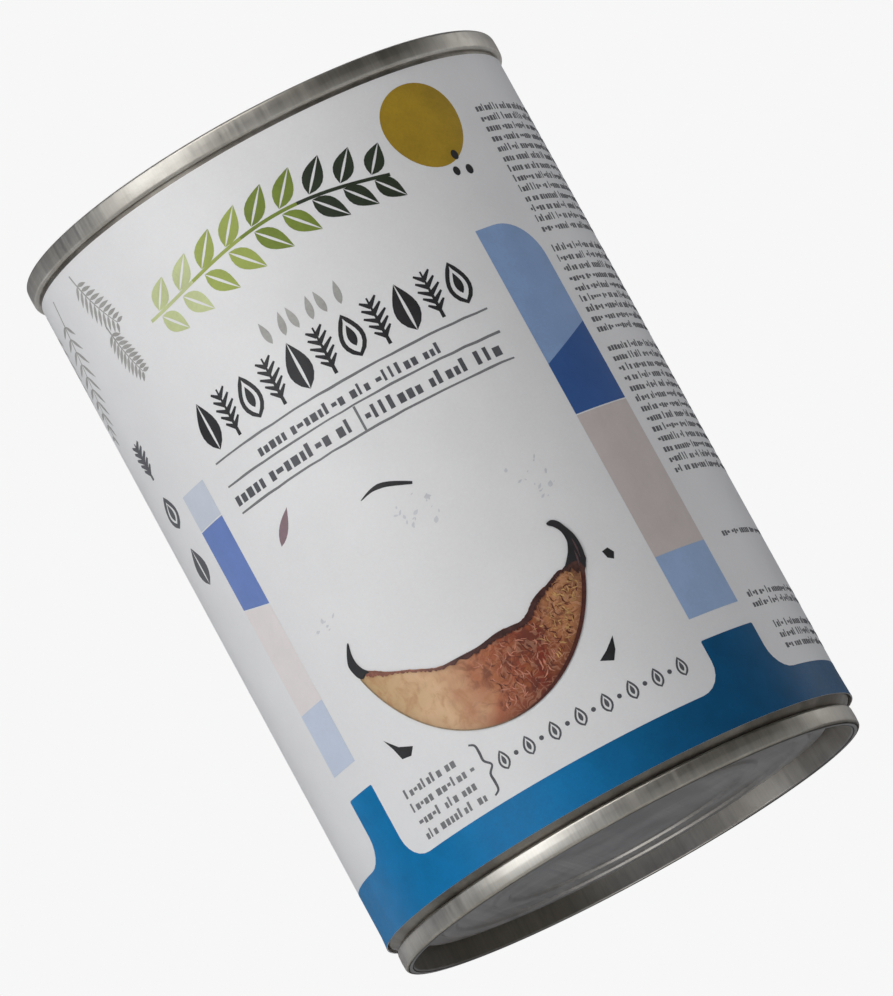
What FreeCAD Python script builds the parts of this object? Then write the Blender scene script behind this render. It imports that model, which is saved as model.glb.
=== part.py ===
import FreeCAD
import Part
import os
import re
import Sketcher

# A round food can: a tinplate wall that necks in at the foot, a seamed end at the foot and
# at the head, and a paper label wrapped round the wall with a glued lap at the back.
# Millimetres. The origin is the middle of the foot, +Z runs up the can's axis, and the
# front of the label faces -Y. The can is shut and full, so its body is one filled solid.

DIMENSIONS = [
    ("can_height", 111.0, "foot crest to head crest"),
    ("body_diameter", 73.3, "outside of the tinplate wall"),
    ("neck_in", 1.5, "how far the wall steps inwards above the foot"),
    ("neck_rise", 1.6, "height over which the wall necks in"),
    ("seam_height", 3.0, "height of each double seam"),
    ("seam_overhang", 0.9, "how far a seam stands out from the wall that it grips"),
    ("chuck_inset", 0.45, "from the wall's outside in to the chuck wall at the crest"),
    ("chuck_taper", 0.3, "how far the chuck wall closes in on its way down"),
    ("end_gauge", 0.22, "sheet thickness of the ends"),
    ("groove_depth", 4.0, "crest to the floor of the countersink groove"),
    ("groove_width", 1.8, "width of the countersink groove's floor"),
    ("panel_depth", 2.6, "crest to the flat panel inside the groove"),
    ("panel_wall_run", 0.4, "slope of the step from the groove up to the panel"),
    ("bead_height", 0.5, "how far the expansion beads stand out of the panel"),
    ("bead_width", 1.8, "flat top of each expansion bead"),
    ("bead_slope", 0.5, "run of each bead's flank"),
    ("outer_bead_inset", 4.2, "panel edge in to the middle of the outer bead"),
    ("inner_bead_inset", 12.5, "panel edge in to the middle of the inner bead"),
    ("crest_outer_round", 0.55, "rounding of a seam's outer crest edge"),
    ("crest_inner_round", 0.35, "rounding of a seam's inner crest edge"),
    ("hook_round", 0.6, "rounding of a seam's edge next to the wall"),
    ("groove_round", 0.5, "rounding of the countersink groove and the panel's edge"),
    ("bead_round", 0.35, "rounding of the expansion beads"),
    ("shoulder_round", 1.2, "rounding where the straight wall turns into the neck"),
    ("label_gauge", 0.15, "paper and glue of one wrap of the label"),
    ("foot_bare_strip", 1.1, "bare wall between the foot seam and the label"),
    ("head_bare_strip", 0.6, "bare wall between the head seam and the label"),
    ("lap_width", 8.0, "width of the label's glued lap, along the wall"),
]

doc = FreeCAD.newDocument("can")
sheet = doc.addObject("Spreadsheet::Sheet", "Dims")
for row, (alias, size, meaning) in enumerate(DIMENSIONS, start=1):
    sheet.set(f"A{row}", meaning)
    sheet.set(f"B{row}", str(size))
    sheet.setAlias(f"B{row}", alias)
doc.recompute()


def bound(formula):
    """A formula in plain alias names, as an expression on the sheet."""
    return re.sub(r"[a-z]+(?:_[a-z]+)+", lambda word: f"Dims.{word.group()}", formula)


def value(formula):
    """What a formula comes to now, as a number."""
    return float(sheet.evalExpression(bound(formula)))


def revolved_body(name, outline):
    """A body turned about Z from a closed outline of (radius, height) formulas."""
    body = doc.addObject("PartDesign::Body", name)
    sketch = body.newObject("Sketcher::SketchObject", f"{name}_outline")
    upright = next(f for f in body.Origin.OriginFeatures if f.Role == "XZ_Plane")
    sketch.AttachmentSupport = [(upright, "")]
    sketch.MapMode = "FlatFace"
    corners = [FreeCAD.Vector(value(r), value(z), 0) for r, z in outline]
    count = len(corners)
    for i, corner in enumerate(corners):
        sketch.addGeometry(Part.LineSegment(corner, corners[(i + 1) % count]), False)
    for i in range(count):
        sketch.addConstraint(Sketcher.Constraint("Coincident", i, 2, (i + 1) % count, 1))
    for i, (r, z) in enumerate(outline):
        for kind, formula, axis in (("DistanceX", r, -2), ("DistanceY", z, -1)):
            if formula == "0":
                sketch.addConstraint(Sketcher.Constraint("PointOnObject", i, 1, axis))
                continue
            place = Sketcher.Constraint(kind, -1, 1, i, 1, value(formula))
            number = sketch.addConstraint(place)
            sketch.setExpression(f"Constraints[{number}]", bound(formula))
    turned = body.newObject("PartDesign::Revolution", f"{name}_turned")
    turned.Profile = sketch
    turned.ReferenceAxis = (sketch, ["V_Axis"])
    turned.Angle = 360
    doc.recompute()
    return body


def round_rings(body, name, radius, rings):
    """Rounds the ring edges that lie at the given (radius, height) formulas."""
    base = body.Tip
    wanted = [(value(r), value(z)) for r, z in rings]
    found = []
    for number, edge in enumerate(base.Shape.Edges, start=1):
        if not isinstance(edge.Curve, Part.Circle):
            continue
        here = (edge.Curve.Radius, edge.Curve.Center.z)
        if any(abs(here[0] - r) + abs(here[1] - z) < 1e-4 for r, z in wanted):
            found.append(f"Edge{number}")
    if len(found) != len(wanted):
        raise RuntimeError(f"{name}: {len(found)} of {len(wanted)} ring edges found")
    fillet = body.newObject("PartDesign::Fillet", name)
    fillet.Base = (base, found)
    fillet.setExpression("Radius", bound(radius))
    doc.recompute()


HEAD_WALL = "body_diameter / 2"
FOOT_WALL = "body_diameter / 2 - neck_in"
LABEL_FOOT = "seam_height + foot_bare_strip"
LABEL_HEIGHT = "can_height - 2 * seam_height - foot_bare_strip - head_bare_strip"


def end_radii(wall):
    """The formulas for one end's radii, from the radius of the wall that it grips."""
    chuck = f"{wall} - chuck_inset"
    groove = f"{chuck} - chuck_taper"
    panel_foot = f"{groove} - groove_width"
    return {
        "seam": f"{wall} + seam_overhang",
        "chuck": chuck,
        "groove": groove,
        "panel_foot": panel_foot,
        "panel": f"{panel_foot} - panel_wall_run",
    }


def end_inside(wall):
    """The hidden face of an end, from the axis out to the wall, as (radius, height)."""
    radii = end_radii(wall)
    return [
        ("0", "panel_depth + end_gauge"),
        (f"{radii['panel']} - end_gauge", "panel_depth + end_gauge"),
        (f"{radii['panel_foot']} - end_gauge", "groove_depth + end_gauge"),
        (f"{radii['groove']} + end_gauge", "groove_depth + end_gauge"),
        (f"{radii['chuck']} + end_gauge", "seam_height"),
        (wall, "seam_height"),
    ]


def bead_rings(panel, inset):
    """The four corners of one expansion bead, from its inner flank to its outer one."""
    middle = f"{panel} - {inset}"
    half = "bead_width / 2"
    top = "panel_depth - bead_height"
    return [
        (f"{middle} - {half} - bead_slope", "panel_depth"),
        (f"{middle} - {half}", top),
        (f"{middle} + {half}", top),
        (f"{middle} + {half} + bead_slope", "panel_depth"),
    ]


def seamed_end(name, wall):
    """One seamed end, its crest at height 0 and the can above it."""
    radii = end_radii(wall)
    beads = bead_rings(radii["panel"], "inner_bead_inset")
    beads += bead_rings(radii["panel"], "outer_bead_inset")
    groove = [
        (radii["panel"], "panel_depth"),
        (radii["panel_foot"], "groove_depth"),
        (radii["groove"], "groove_depth"),
    ]
    crest_inside = (radii["chuck"], "0")
    crest_outside = (radii["seam"], "0")
    hook = (radii["seam"], "seam_height")
    outline = [("0", "panel_depth"), *beads, *groove, crest_inside, crest_outside, hook]
    outline += reversed(end_inside(wall))
    body = revolved_body(name, outline)
    round_rings(body, f"{name}_beads", "bead_round", beads)
    round_rings(body, f"{name}_groove", "groove_round", groove)
    round_rings(body, f"{name}_crest_inside", "crest_inner_round", [crest_inside])
    round_rings(body, f"{name}_crest_outside", "crest_outer_round", [crest_outside])
    round_rings(body, f"{name}_hook", "hook_round", [hook])
    return body


def filled_body(name):
    """The wall and all that it holds, between the two ends."""
    shoulder = ("body_diameter / 2", "seam_height + neck_rise")
    foot = end_inside(FOOT_WALL)
    head = [(r, f"can_height - ({z})") for r, z in end_inside(HEAD_WALL)]
    body = revolved_body(name, [*foot, shoulder, *reversed(head)])
    round_rings(body, f"{name}_shoulder", "shoulder_round", [shoulder])
    return body


def upright_drum(name, radius, start):
    """A plain drum as tall as the label, standing where the label stands."""
    drum = doc.addObject("Part::Cylinder", name)
    drum.setExpression("Radius", bound(radius))
    drum.setExpression("Height", bound(LABEL_HEIGHT))
    drum.setExpression("Placement.Base.z", bound(LABEL_FOOT))
    drum.setExpression("Angle", start)
    return drum


def wrapped_label(name):
    """The label: one wrap of paper, and the glued lap on top of it at the back."""
    wall = "body_diameter / 2"
    one_wrap = f"{wall} + label_gauge"
    two_wraps = f"{wall} + 2 * label_gauge"
    lap_angle = bound(f"lap_width / ({two_wraps}) * 180 deg / pi")
    wrap = doc.addObject("Part::Cut", f"{name}_wrap")
    wrap.Base = upright_drum(f"{name}_outside", one_wrap, "360 deg")
    wrap.Tool = upright_drum(f"{name}_bore", wall, "360 deg")
    lap = doc.addObject("Part::Cut", f"{name}_lap")
    lap.Base = upright_drum(f"{name}_lap_outside", two_wraps, lap_angle)
    lap.Tool = upright_drum(f"{name}_lap_bore", wall, "360 deg")
    lap.Placement.Rotation = FreeCAD.Rotation(FreeCAD.Vector(0, 0, 1), 90)
    label = doc.addObject("Part::Fuse", name)
    label.Base = wrap
    label.Tool = lap
    return label


bottom_end = seamed_end("bottom_end", FOOT_WALL)
top_end = seamed_end("top_end", HEAD_WALL)
top_end.Placement.Rotation = FreeCAD.Rotation(FreeCAD.Vector(1, 0, 0), 180)
top_end.setExpression("Placement.Base.z", bound("can_height"))
can_body = filled_body("can_body")
paper_label = wrapped_label("paper_label")
doc.recompute()

for item in doc.Objects:
    if "Invalid" in item.State or "Error" in item.State:
        raise RuntimeError(f"{item.Name} failed: {item.State}")

os.makedirs("parts", exist_ok=True)
for piece in (can_body, bottom_end, top_end, paper_label):
    shape = piece.Shape
    if shape.isNull() or not shape.isValid() or len(shape.Solids) != 1:
        raise RuntimeError(f"{piece.Label} is not one sound solid")
    shape.exportStep(os.path.join("parts", f"{piece.Label}.step"))
    size = shape.BoundBox
    print(f"{piece.Label}: {shape.Volume:.1f} mm3, z {size.ZMin:.2f} to {size.ZMax:.2f}")
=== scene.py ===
import logging
import math
import random
from abc import ABC, abstractmethod
from collections.abc import Callable, Sequence
from dataclasses import dataclass
from enum import Enum
from functools import cache, partial

import bmesh
import bpy
from mathutils import Matrix, Vector


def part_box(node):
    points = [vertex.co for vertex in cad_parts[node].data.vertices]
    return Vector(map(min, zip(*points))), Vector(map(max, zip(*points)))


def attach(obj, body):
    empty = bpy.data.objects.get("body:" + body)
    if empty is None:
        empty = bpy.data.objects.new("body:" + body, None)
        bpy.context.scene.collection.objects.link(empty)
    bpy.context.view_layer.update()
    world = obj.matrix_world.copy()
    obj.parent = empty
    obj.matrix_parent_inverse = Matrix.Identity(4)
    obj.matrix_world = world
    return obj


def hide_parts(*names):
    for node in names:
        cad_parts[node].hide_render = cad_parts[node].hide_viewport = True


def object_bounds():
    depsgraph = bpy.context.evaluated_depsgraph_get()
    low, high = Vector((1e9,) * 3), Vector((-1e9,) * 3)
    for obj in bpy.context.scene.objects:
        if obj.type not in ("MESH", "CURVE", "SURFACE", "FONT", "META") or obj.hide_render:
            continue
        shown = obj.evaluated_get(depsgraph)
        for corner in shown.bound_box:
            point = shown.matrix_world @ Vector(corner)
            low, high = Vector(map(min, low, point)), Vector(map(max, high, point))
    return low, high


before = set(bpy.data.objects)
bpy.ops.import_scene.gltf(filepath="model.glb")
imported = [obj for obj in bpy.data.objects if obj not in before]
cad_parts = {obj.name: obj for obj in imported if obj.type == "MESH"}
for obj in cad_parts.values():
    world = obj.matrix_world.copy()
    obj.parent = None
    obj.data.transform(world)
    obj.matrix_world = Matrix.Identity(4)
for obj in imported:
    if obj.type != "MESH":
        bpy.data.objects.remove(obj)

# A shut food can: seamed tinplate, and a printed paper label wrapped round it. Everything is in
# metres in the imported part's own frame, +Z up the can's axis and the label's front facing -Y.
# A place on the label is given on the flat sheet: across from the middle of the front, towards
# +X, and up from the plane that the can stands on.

CAD_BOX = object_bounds()
MM = 0.001
TURN_STEPS = 256
SHARP_EDGE = math.radians(38)
INK_LIFT = 0.025 * MM
INK_SUNK = 0.02 * MM
CUT_TOLERANCE = 1e-7
ON_AXIS = 1e-9
BODY = "root"

Point = tuple[float, float]
Socket = bpy.types.NodeSocket
Piece = bpy.types.Object
USUAL_NOISE: Point = (0.35, 0.65)
MIXED_NOISE: Point = (0.36, 0.64)

log = logging.getLogger("can")


# ---------------------------------------------------------------- outlines


@dataclass(frozen=True)
class Corner:
    """A corner of an outline: its place across and up, and the radius that rounds it."""

    across: float
    up: float
    radius: float = 0.0


def metres(spots: Sequence[Point]) -> list[Point]:
    """Turns places in millimetres into metres."""
    return [(across * MM, up * MM) for across, up in spots]


def rounded(corners: Sequence[Corner], steps: int = 7, closed: bool = True) -> list[Point]:
    """Turns corners into points, with an arc at each corner that has a radius.

    Args:
        corners: The outline's corners, in order.
        steps: How many points each arc gets.
        closed: Whether the last corner joins the first.

    Returns:
        The outline's points.
    """
    points: list[Point] = []
    for i, corner in enumerate(corners):
        here = Vector((corner.across, corner.up))
        at_end = not closed and i in (0, len(corners) - 1)
        if corner.radius <= 0 or at_end:
            points.append(tuple(here))
            continue
        last, following = corners[i - 1], corners[(i + 1) % len(corners)]
        back = (Vector((last.across, last.up)) - here).normalized()
        onward = (Vector((following.across, following.up)) - here).normalized()
        half = back.angle(onward) / 2
        centre = here + (back + onward).normalized() * corner.radius / math.sin(half)
        setback = corner.radius / math.tan(half)
        start, end = here + back * setback - centre, here + onward * setback - centre
        first = math.atan2(start.y, start.x)
        sweep = (math.atan2(end.y, end.x) - first + math.pi) % math.tau - math.pi
        for step in range(steps):
            angle = first + sweep * step / (steps - 1)
            spoke = Vector((math.cos(angle), math.sin(angle))) * corner.radius
            points.append(tuple(centre + spoke))
    return points


def smoothed(points: Sequence[Point], steps: int = 6, closed: bool = False) -> list[Point]:
    """Draws a smooth curve through points (a Catmull-Rom spline).

    Args:
        points: The points that the curve passes through.
        steps: How many pieces each span is cut into.
        closed: Whether the curve returns to its first point.

    Returns:
        The curve's points.
    """
    knots = [Vector(point) for point in points]
    count = len(knots)
    spans = count if closed else count - 1
    curve: list[Point] = []
    for i in range(spans):
        if closed:
            a, b, c, d = (knots[(i + k) % count] for k in (-1, 0, 1, 2))
        else:
            a, b, c, d = (knots[min(max(i + k, 0), count - 1)] for k in (-1, 0, 1, 2))
        for step in range(steps):
            t = step / steps
            along = b * 2 + (c - a) * t + (a * 2 - b * 5 + c * 4 - d) * t**2
            along += (b * 3 - a - c * 3 + d) * t**3
            curve.append(tuple(along / 2))
    if not closed:
        curve.append(tuple(knots[-1]))
    return curve


def ellipse(centre: Point, half_width: float, half_height: float, steps: int = 24) -> list[Point]:
    """The points of an ellipse, anticlockwise.

    Args:
        centre: Its middle.
        half_width: Half its size across.
        half_height: Half its size up.
        steps: How many points it has.

    Returns:
        The ellipse's points.
    """
    turns = (math.tau * step / steps for step in range(steps))
    return [
        (centre[0] + half_width * math.cos(turn), centre[1] + half_height * math.sin(turn))
        for turn in turns
    ]


def leaf(root: Point, tip: Point, half_width: float, side: int = 0, steps: int = 8) -> list[Point]:
    """The outline of a pointed leaf, whole or split along its rib.

    Args:
        root: Where the leaf leaves its stem.
        tip: Its point.
        half_width: Half its greatest width.
        side: 0 for the whole leaf, 1 or -1 for the blade on one side of the rib.
        steps: How many points each edge has.

    Returns:
        The leaf's outline.
    """
    start, rib = Vector(root), Vector(tip) - Vector(root)
    outward = Vector((-rib.y, rib.x)).normalized()
    shares = [step / steps for step in range(steps + 1)]
    off_rib = 0.02 * MM * side
    widest_near_root = 0.8
    inner_bow = 0.12 * side

    def edge(way: float) -> list[Point]:
        """One edge of the leaf.

        Args:
            way: The side that it bows out on, and how much of the leaf's width it takes.

        Returns:
            The edge's points, from root to tip.
        """
        bow = [math.sin(math.pi * share**widest_near_root) for share in shares]
        outs = [part * half_width * way + off_rib for part in bow]
        return [tuple(start + rib * share + outward * out) for share, out in zip(shares, outs)]

    if side == 0:
        return edge(1)[:-1] + edge(-1)[:0:-1]
    return edge(side)[:-1] + edge(inner_bow)[:0:-1]


# ---------------------------------------------------------------- material graphs


@dataclass(frozen=True)
class Colour:
    """A colour in display values from 0 to 255."""

    red: float
    green: float
    blue: float

    def linear(self, shade: float = 1.0) -> tuple[float, float, float, float]:
        """The colour as linear light, made darker or lighter.

        Args:
            shade: What the light is multiplied by.

        Returns:
            Red, green, blue and an opacity of one.
        """
        parts = (value / 255 for value in (self.red, self.green, self.blue))
        light = (v / 12.92 if v <= 0.04045 else ((v + 0.055) / 1.055) ** 2.4 for v in parts)
        red, green, blue = (min(value * shade, 1.0) for value in light)
        return red, green, blue, 1.0


class Nodes:
    """The node tree of a material or a world, with a short method for each kind of node."""

    def __init__(self, owner: bpy.types.Material | bpy.types.World) -> None:
        """Gives the owner an empty tree.

        Args:
            owner: The material or the world.
        """
        owner.use_nodes = True
        self.tree = owner.node_tree
        self.tree.nodes.clear()

    def add(self, kind: str, **settings: object) -> bpy.types.Node:
        """Adds a node.

        Args:
            kind: The node's type name.
            **settings: Properties to set on it.

        Returns:
            The node.
        """
        node = self.tree.nodes.new(kind)
        for name, value in settings.items():
            setattr(node, name, value)
        return node

    def feed(self, target: Socket, value: object) -> None:
        """Joins an input to another node's output, or gives it a constant.

        Args:
            target: The input.
            value: An output socket or a constant.
        """
        if isinstance(value, bpy.types.NodeSocket):
            self.tree.links.new(value, target)
        else:
            target.default_value = value

    def feed_all(self, node: bpy.types.Node, *values: object) -> Socket:
        """Feeds a node's first inputs in order.

        Args:
            node: The node.
            *values: A socket or a constant for each input.

        Returns:
            The node's first output.
        """
        for target, value in zip(node.inputs, values):
            self.feed(target, value)
        return node.outputs[0]

    def remap(
        self,
        value: Socket,
        source: Point,
        target: tuple[object, object] = (0.0, 1.0),
        smooth: bool = False,
    ) -> Socket:
        """Moves a value from one range to another and keeps it inside.

        Args:
            value: The value.
            source: The range that it has.
            target: The range that it gets, each end a socket or a number.
            smooth: Whether the ends ease in and out.

        Returns:
            The moved value.
        """
        kind = "SMOOTHSTEP" if smooth else "LINEAR"
        node = self.add("ShaderNodeMapRange", interpolation_type=kind, clamp=True)
        return self.feed_all(node, value, *source, *target)

    def maths(self, operation: str, *values: object) -> Socket:
        """One sum on up to three values.

        Args:
            operation: The sum's name, such as ADD.
            *values: The sockets or numbers that it takes.

        Returns:
            The result.
        """
        return self.feed_all(self.add("ShaderNodeMath", operation=operation), *values)

    def blend(self, share: object, first: object, second: object, mode: str = "MIX") -> Socket:
        """Mixes two colours.

        Args:
            share: How much of the second colour counts.
            first: A colour or a socket.
            second: A colour or a socket.
            mode: The way of mixing.

        Returns:
            The mixed colour.
        """
        node = self.add("ShaderNodeMix", data_type="RGBA", blend_type=mode)
        factor, colour_a, colour_b = (node.inputs[number] for number in (0, 6, 7))
        for target, item in ((factor, share), (colour_a, first), (colour_b, second)):
            self.feed(target, item)
        return node.outputs[2]

    def either(self, share: Socket, first: Socket, second: Socket) -> Socket:
        """The first shader where the share is 0, and the second where it is 1."""
        return self.feed_all(self.add("ShaderNodeMixShader"), share, first, second)


class Graph(Nodes):
    """A new material's nodes, round a Principled shader that is joined to its output."""

    def __init__(self, name: str) -> None:
        """Starts the material.

        Args:
            name: The material's name.
        """
        self.material = bpy.data.materials.new(name)
        super().__init__(self.material)
        self.output = self.add("ShaderNodeOutputMaterial")
        self.shader = self.add("ShaderNodeBsdfPrincipled")
        self.feed(self.output.inputs["Surface"], self.shader.outputs["BSDF"])

    def surface(self, **values: object) -> None:
        """Sets inputs of the Principled shader, with their spaces written as underscores."""
        for name, value in values.items():
            self.feed(self.shader.inputs[name.replace("_", " ")], value)

    def place(self, scale: tuple[float, float, float] = (1.0, 1.0, 1.0)) -> Socket:
        """Object coordinates, stretched along each axis.

        Args:
            scale: What each axis is multiplied by.

        Returns:
            The coordinates.
        """
        stretched = self.add("ShaderNodeVectorMath", operation="MULTIPLY")
        return self.feed_all(stretched, self.add("ShaderNodeTexCoord").outputs["Object"], scale)

    def axis(self, name: str) -> Socket:
        """One axis of the object coordinates, X, Y or Z."""
        return self.part(self.place(), name)

    def part(self, vector: Socket, name: str) -> Socket:
        """One part of a vector.

        Args:
            vector: The vector.
            name: X, Y or Z.

        Returns:
            That part.
        """
        split = self.add("ShaderNodeSeparateXYZ")
        self.feed(split.inputs[0], vector)
        return split.outputs[name]

    def noise(
        self,
        place: Socket,
        scale: float,
        detail: float = 3.0,
        rough: float = 0.5,
        swirl: float = 0.0,
    ) -> Socket:
        """Noise from 0 to 1.

        Args:
            place: The coordinates.
            scale: How many lumps it has in a metre.
            detail: How many finer layers it has.
            rough: How strong the finer layers are.
            swirl: How far its lumps are drawn out into curls.

        Returns:
            The noise.
        """
        texture = self.add("ShaderNodeTexNoise")
        names = ("Vector", "Scale", "Detail", "Roughness", "Distortion")
        for name, value in zip(names, (place, scale, detail, rough, swirl)):
            self.feed(texture.inputs[name], value)
        return texture.outputs["Fac"]

    def ramp(self, value: Socket, stops: Sequence[tuple[float, Colour]]) -> Socket:
        """Colours a value along a row of stops.

        Args:
            value: A value from 0 to 1.
            stops: Each stop's position and colour.

        Returns:
            The colour.
        """
        node = self.add("ShaderNodeValToRGB")
        self.feed(node.inputs["Fac"], value)
        elements = node.color_ramp.elements
        while len(elements) < len(stops):
            elements.new(1.0)
        for element, (position, colour) in zip(elements, stops):
            element.position = position
            element.color = colour.linear()
        return node.outputs["Color"]

    def relief(self, height: Socket, depth: float, strength: float) -> None:
        """Gives the surface a bump.

        Args:
            height: The relief, from 0 to 1.
            depth: How deep the relief is, in metres.
            strength: How much of it counts.
        """
        bump = self.add("ShaderNodeBump")
        for name, value in (("Height", height), ("Distance", depth), ("Strength", strength)):
            self.feed(bump.inputs[name], value)
        self.surface(Normal=bump.outputs["Normal"])


class Finish(ABC):
    """A surface finish. Equal finishes share one material."""

    @abstractmethod
    def material(self) -> bpy.types.Material:
        """Builds the finish's material."""


@cache
def material_of(finish: Finish) -> bpy.types.Material:
    """The one material of a finish."""
    return finish.material()


@dataclass(frozen=True)
class Tinplate(Finish):
    """Rolled tinplate: fine mill lines, a faint mottle of tin and dull handling marks."""

    name: str
    bright: Colour
    dull: Colour
    roughness: Point = (0.27, 0.40)
    line_scale: float = 2600.0
    broad_scale: float = 0.23
    line_stretch: float = 0.012
    line_shades: Point = (0.84, 1.05)
    mottle_scale: float = 130.0
    smear_scale: float = 34.0
    smear_share: float = 0.55
    smear_roughness: float = 0.05
    anisotropy: float = 0.30
    line_depth: float = 0.0025 * MM
    line_relief: float = 0.5

    def mill_lines(self, graph: Graph) -> Socket:
        """Fine lines, upright on walls and straight across flat panels.

        Args:
            graph: The material's graph.

        Returns:
            The lines' height, from 0 to 1.
        """
        normal = graph.add("ShaderNodeNewGeometry").outputs["Normal"]
        steepness = graph.maths("ABSOLUTE", graph.part(normal, "Z"))
        level = graph.remap(steepness, (0.6, 0.9), smooth=True)
        runs = []
        for stretch in ((1.0, 1.0, self.line_stretch), (1.0, self.line_stretch, 1.0)):
            fine = graph.noise(graph.place(stretch), self.line_scale, 2.0)
            broad = graph.noise(graph.place(stretch), self.line_scale * self.broad_scale, 2.0)
            runs.append(graph.maths("MULTIPLY", graph.maths("ADD", fine, broad), 0.5))
        return graph.blend(level, *runs)

    def material(self) -> bpy.types.Material:
        """Builds the tinplate's material.

        Returns:
            The material.
        """
        graph = Graph(self.name)
        lines = self.mill_lines(graph)
        mottle = graph.noise(graph.place(), self.mottle_scale, 5.0, 0.6)
        smears = graph.noise(graph.place(), self.smear_scale, 4.0, 0.55)
        wear = graph.blend(self.smear_share, mottle, smears)
        dulled = graph.remap(wear, (0.40, 0.62), smooth=True)
        tint = graph.blend(dulled, self.bright.linear(), self.dull.linear())
        lined = graph.remap(lines, MIXED_NOISE, self.line_shades)
        graph.surface(Base_Color=graph.blend(1.0, tint, lined, "MULTIPLY"), Metallic=1.0)
        rough = graph.remap(lines, USUAL_NOISE, self.roughness)
        rough = graph.maths("MULTIPLY_ADD", dulled, self.smear_roughness, rough)
        graph.surface(Roughness=rough, Anisotropic=self.anisotropy)
        graph.relief(lines, self.line_depth, self.line_relief)
        return graph.material


@dataclass(frozen=True)
class Printed(Finish):
    """Coated label paper, bare or inked: a slight tooth, uneven cover and soft glued waves."""

    name: str
    colour: Colour
    # A second colour that the first turns into across X: a print fade in the coconut's inks, and
    # painted shade, darker towards +X, in the base band's blue.
    print_fade_and_painted_shade_to: Colour | None = None
    ramp_span: Point = (-6.0 * MM, 23.0 * MM)
    patchy: float = 0.06
    patch_scale: float = 260.0
    roughness: Point = (0.38, 0.48)
    gloss: float = 0.3
    tooth_scale: float = 2400.0
    wave_scale: float = 45.0
    wave_stretch: float = 0.35
    tooth_depth: float = 0.006 * MM
    wave_depth: float = 0.10 * MM
    wave_relief: float = 0.6

    def material(self) -> bpy.types.Material:
        """Builds the paper's or ink's material.

        Returns:
            The material.
        """
        graph = Graph(self.name)
        tooth = graph.noise(graph.place(), self.tooth_scale, 3.0, 0.6)
        patches = graph.noise(graph.place(), self.patch_scale, 5.0, 0.6)
        both = graph.blend(0.65, tooth, patches)
        shade = graph.remap(both, MIXED_NOISE, (1.0 - self.patchy, 1.0 + self.patchy))
        tint: Socket | tuple[float, ...] = self.colour.linear()
        if self.print_fade_and_painted_shade_to:
            across = graph.remap(graph.axis("X"), self.ramp_span, smooth=True)
            tint = graph.blend(across, tint, self.print_fade_and_painted_shade_to.linear())
        graph.surface(Base_Color=graph.blend(1.0, tint, shade, "MULTIPLY"))
        graph.surface(Roughness=graph.remap(tooth, USUAL_NOISE, self.roughness))
        graph.shader.inputs["Specular IOR Level"].default_value = self.gloss
        waves = graph.noise(graph.place((1.0, 1.0, self.wave_stretch)), self.wave_scale, 1.0)
        ratio = self.tooth_depth / self.wave_depth
        height = graph.maths("ADD", waves, graph.maths("MULTIPLY", tooth, ratio))
        graph.relief(height, self.wave_depth, self.wave_relief)
        return graph.material


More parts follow.
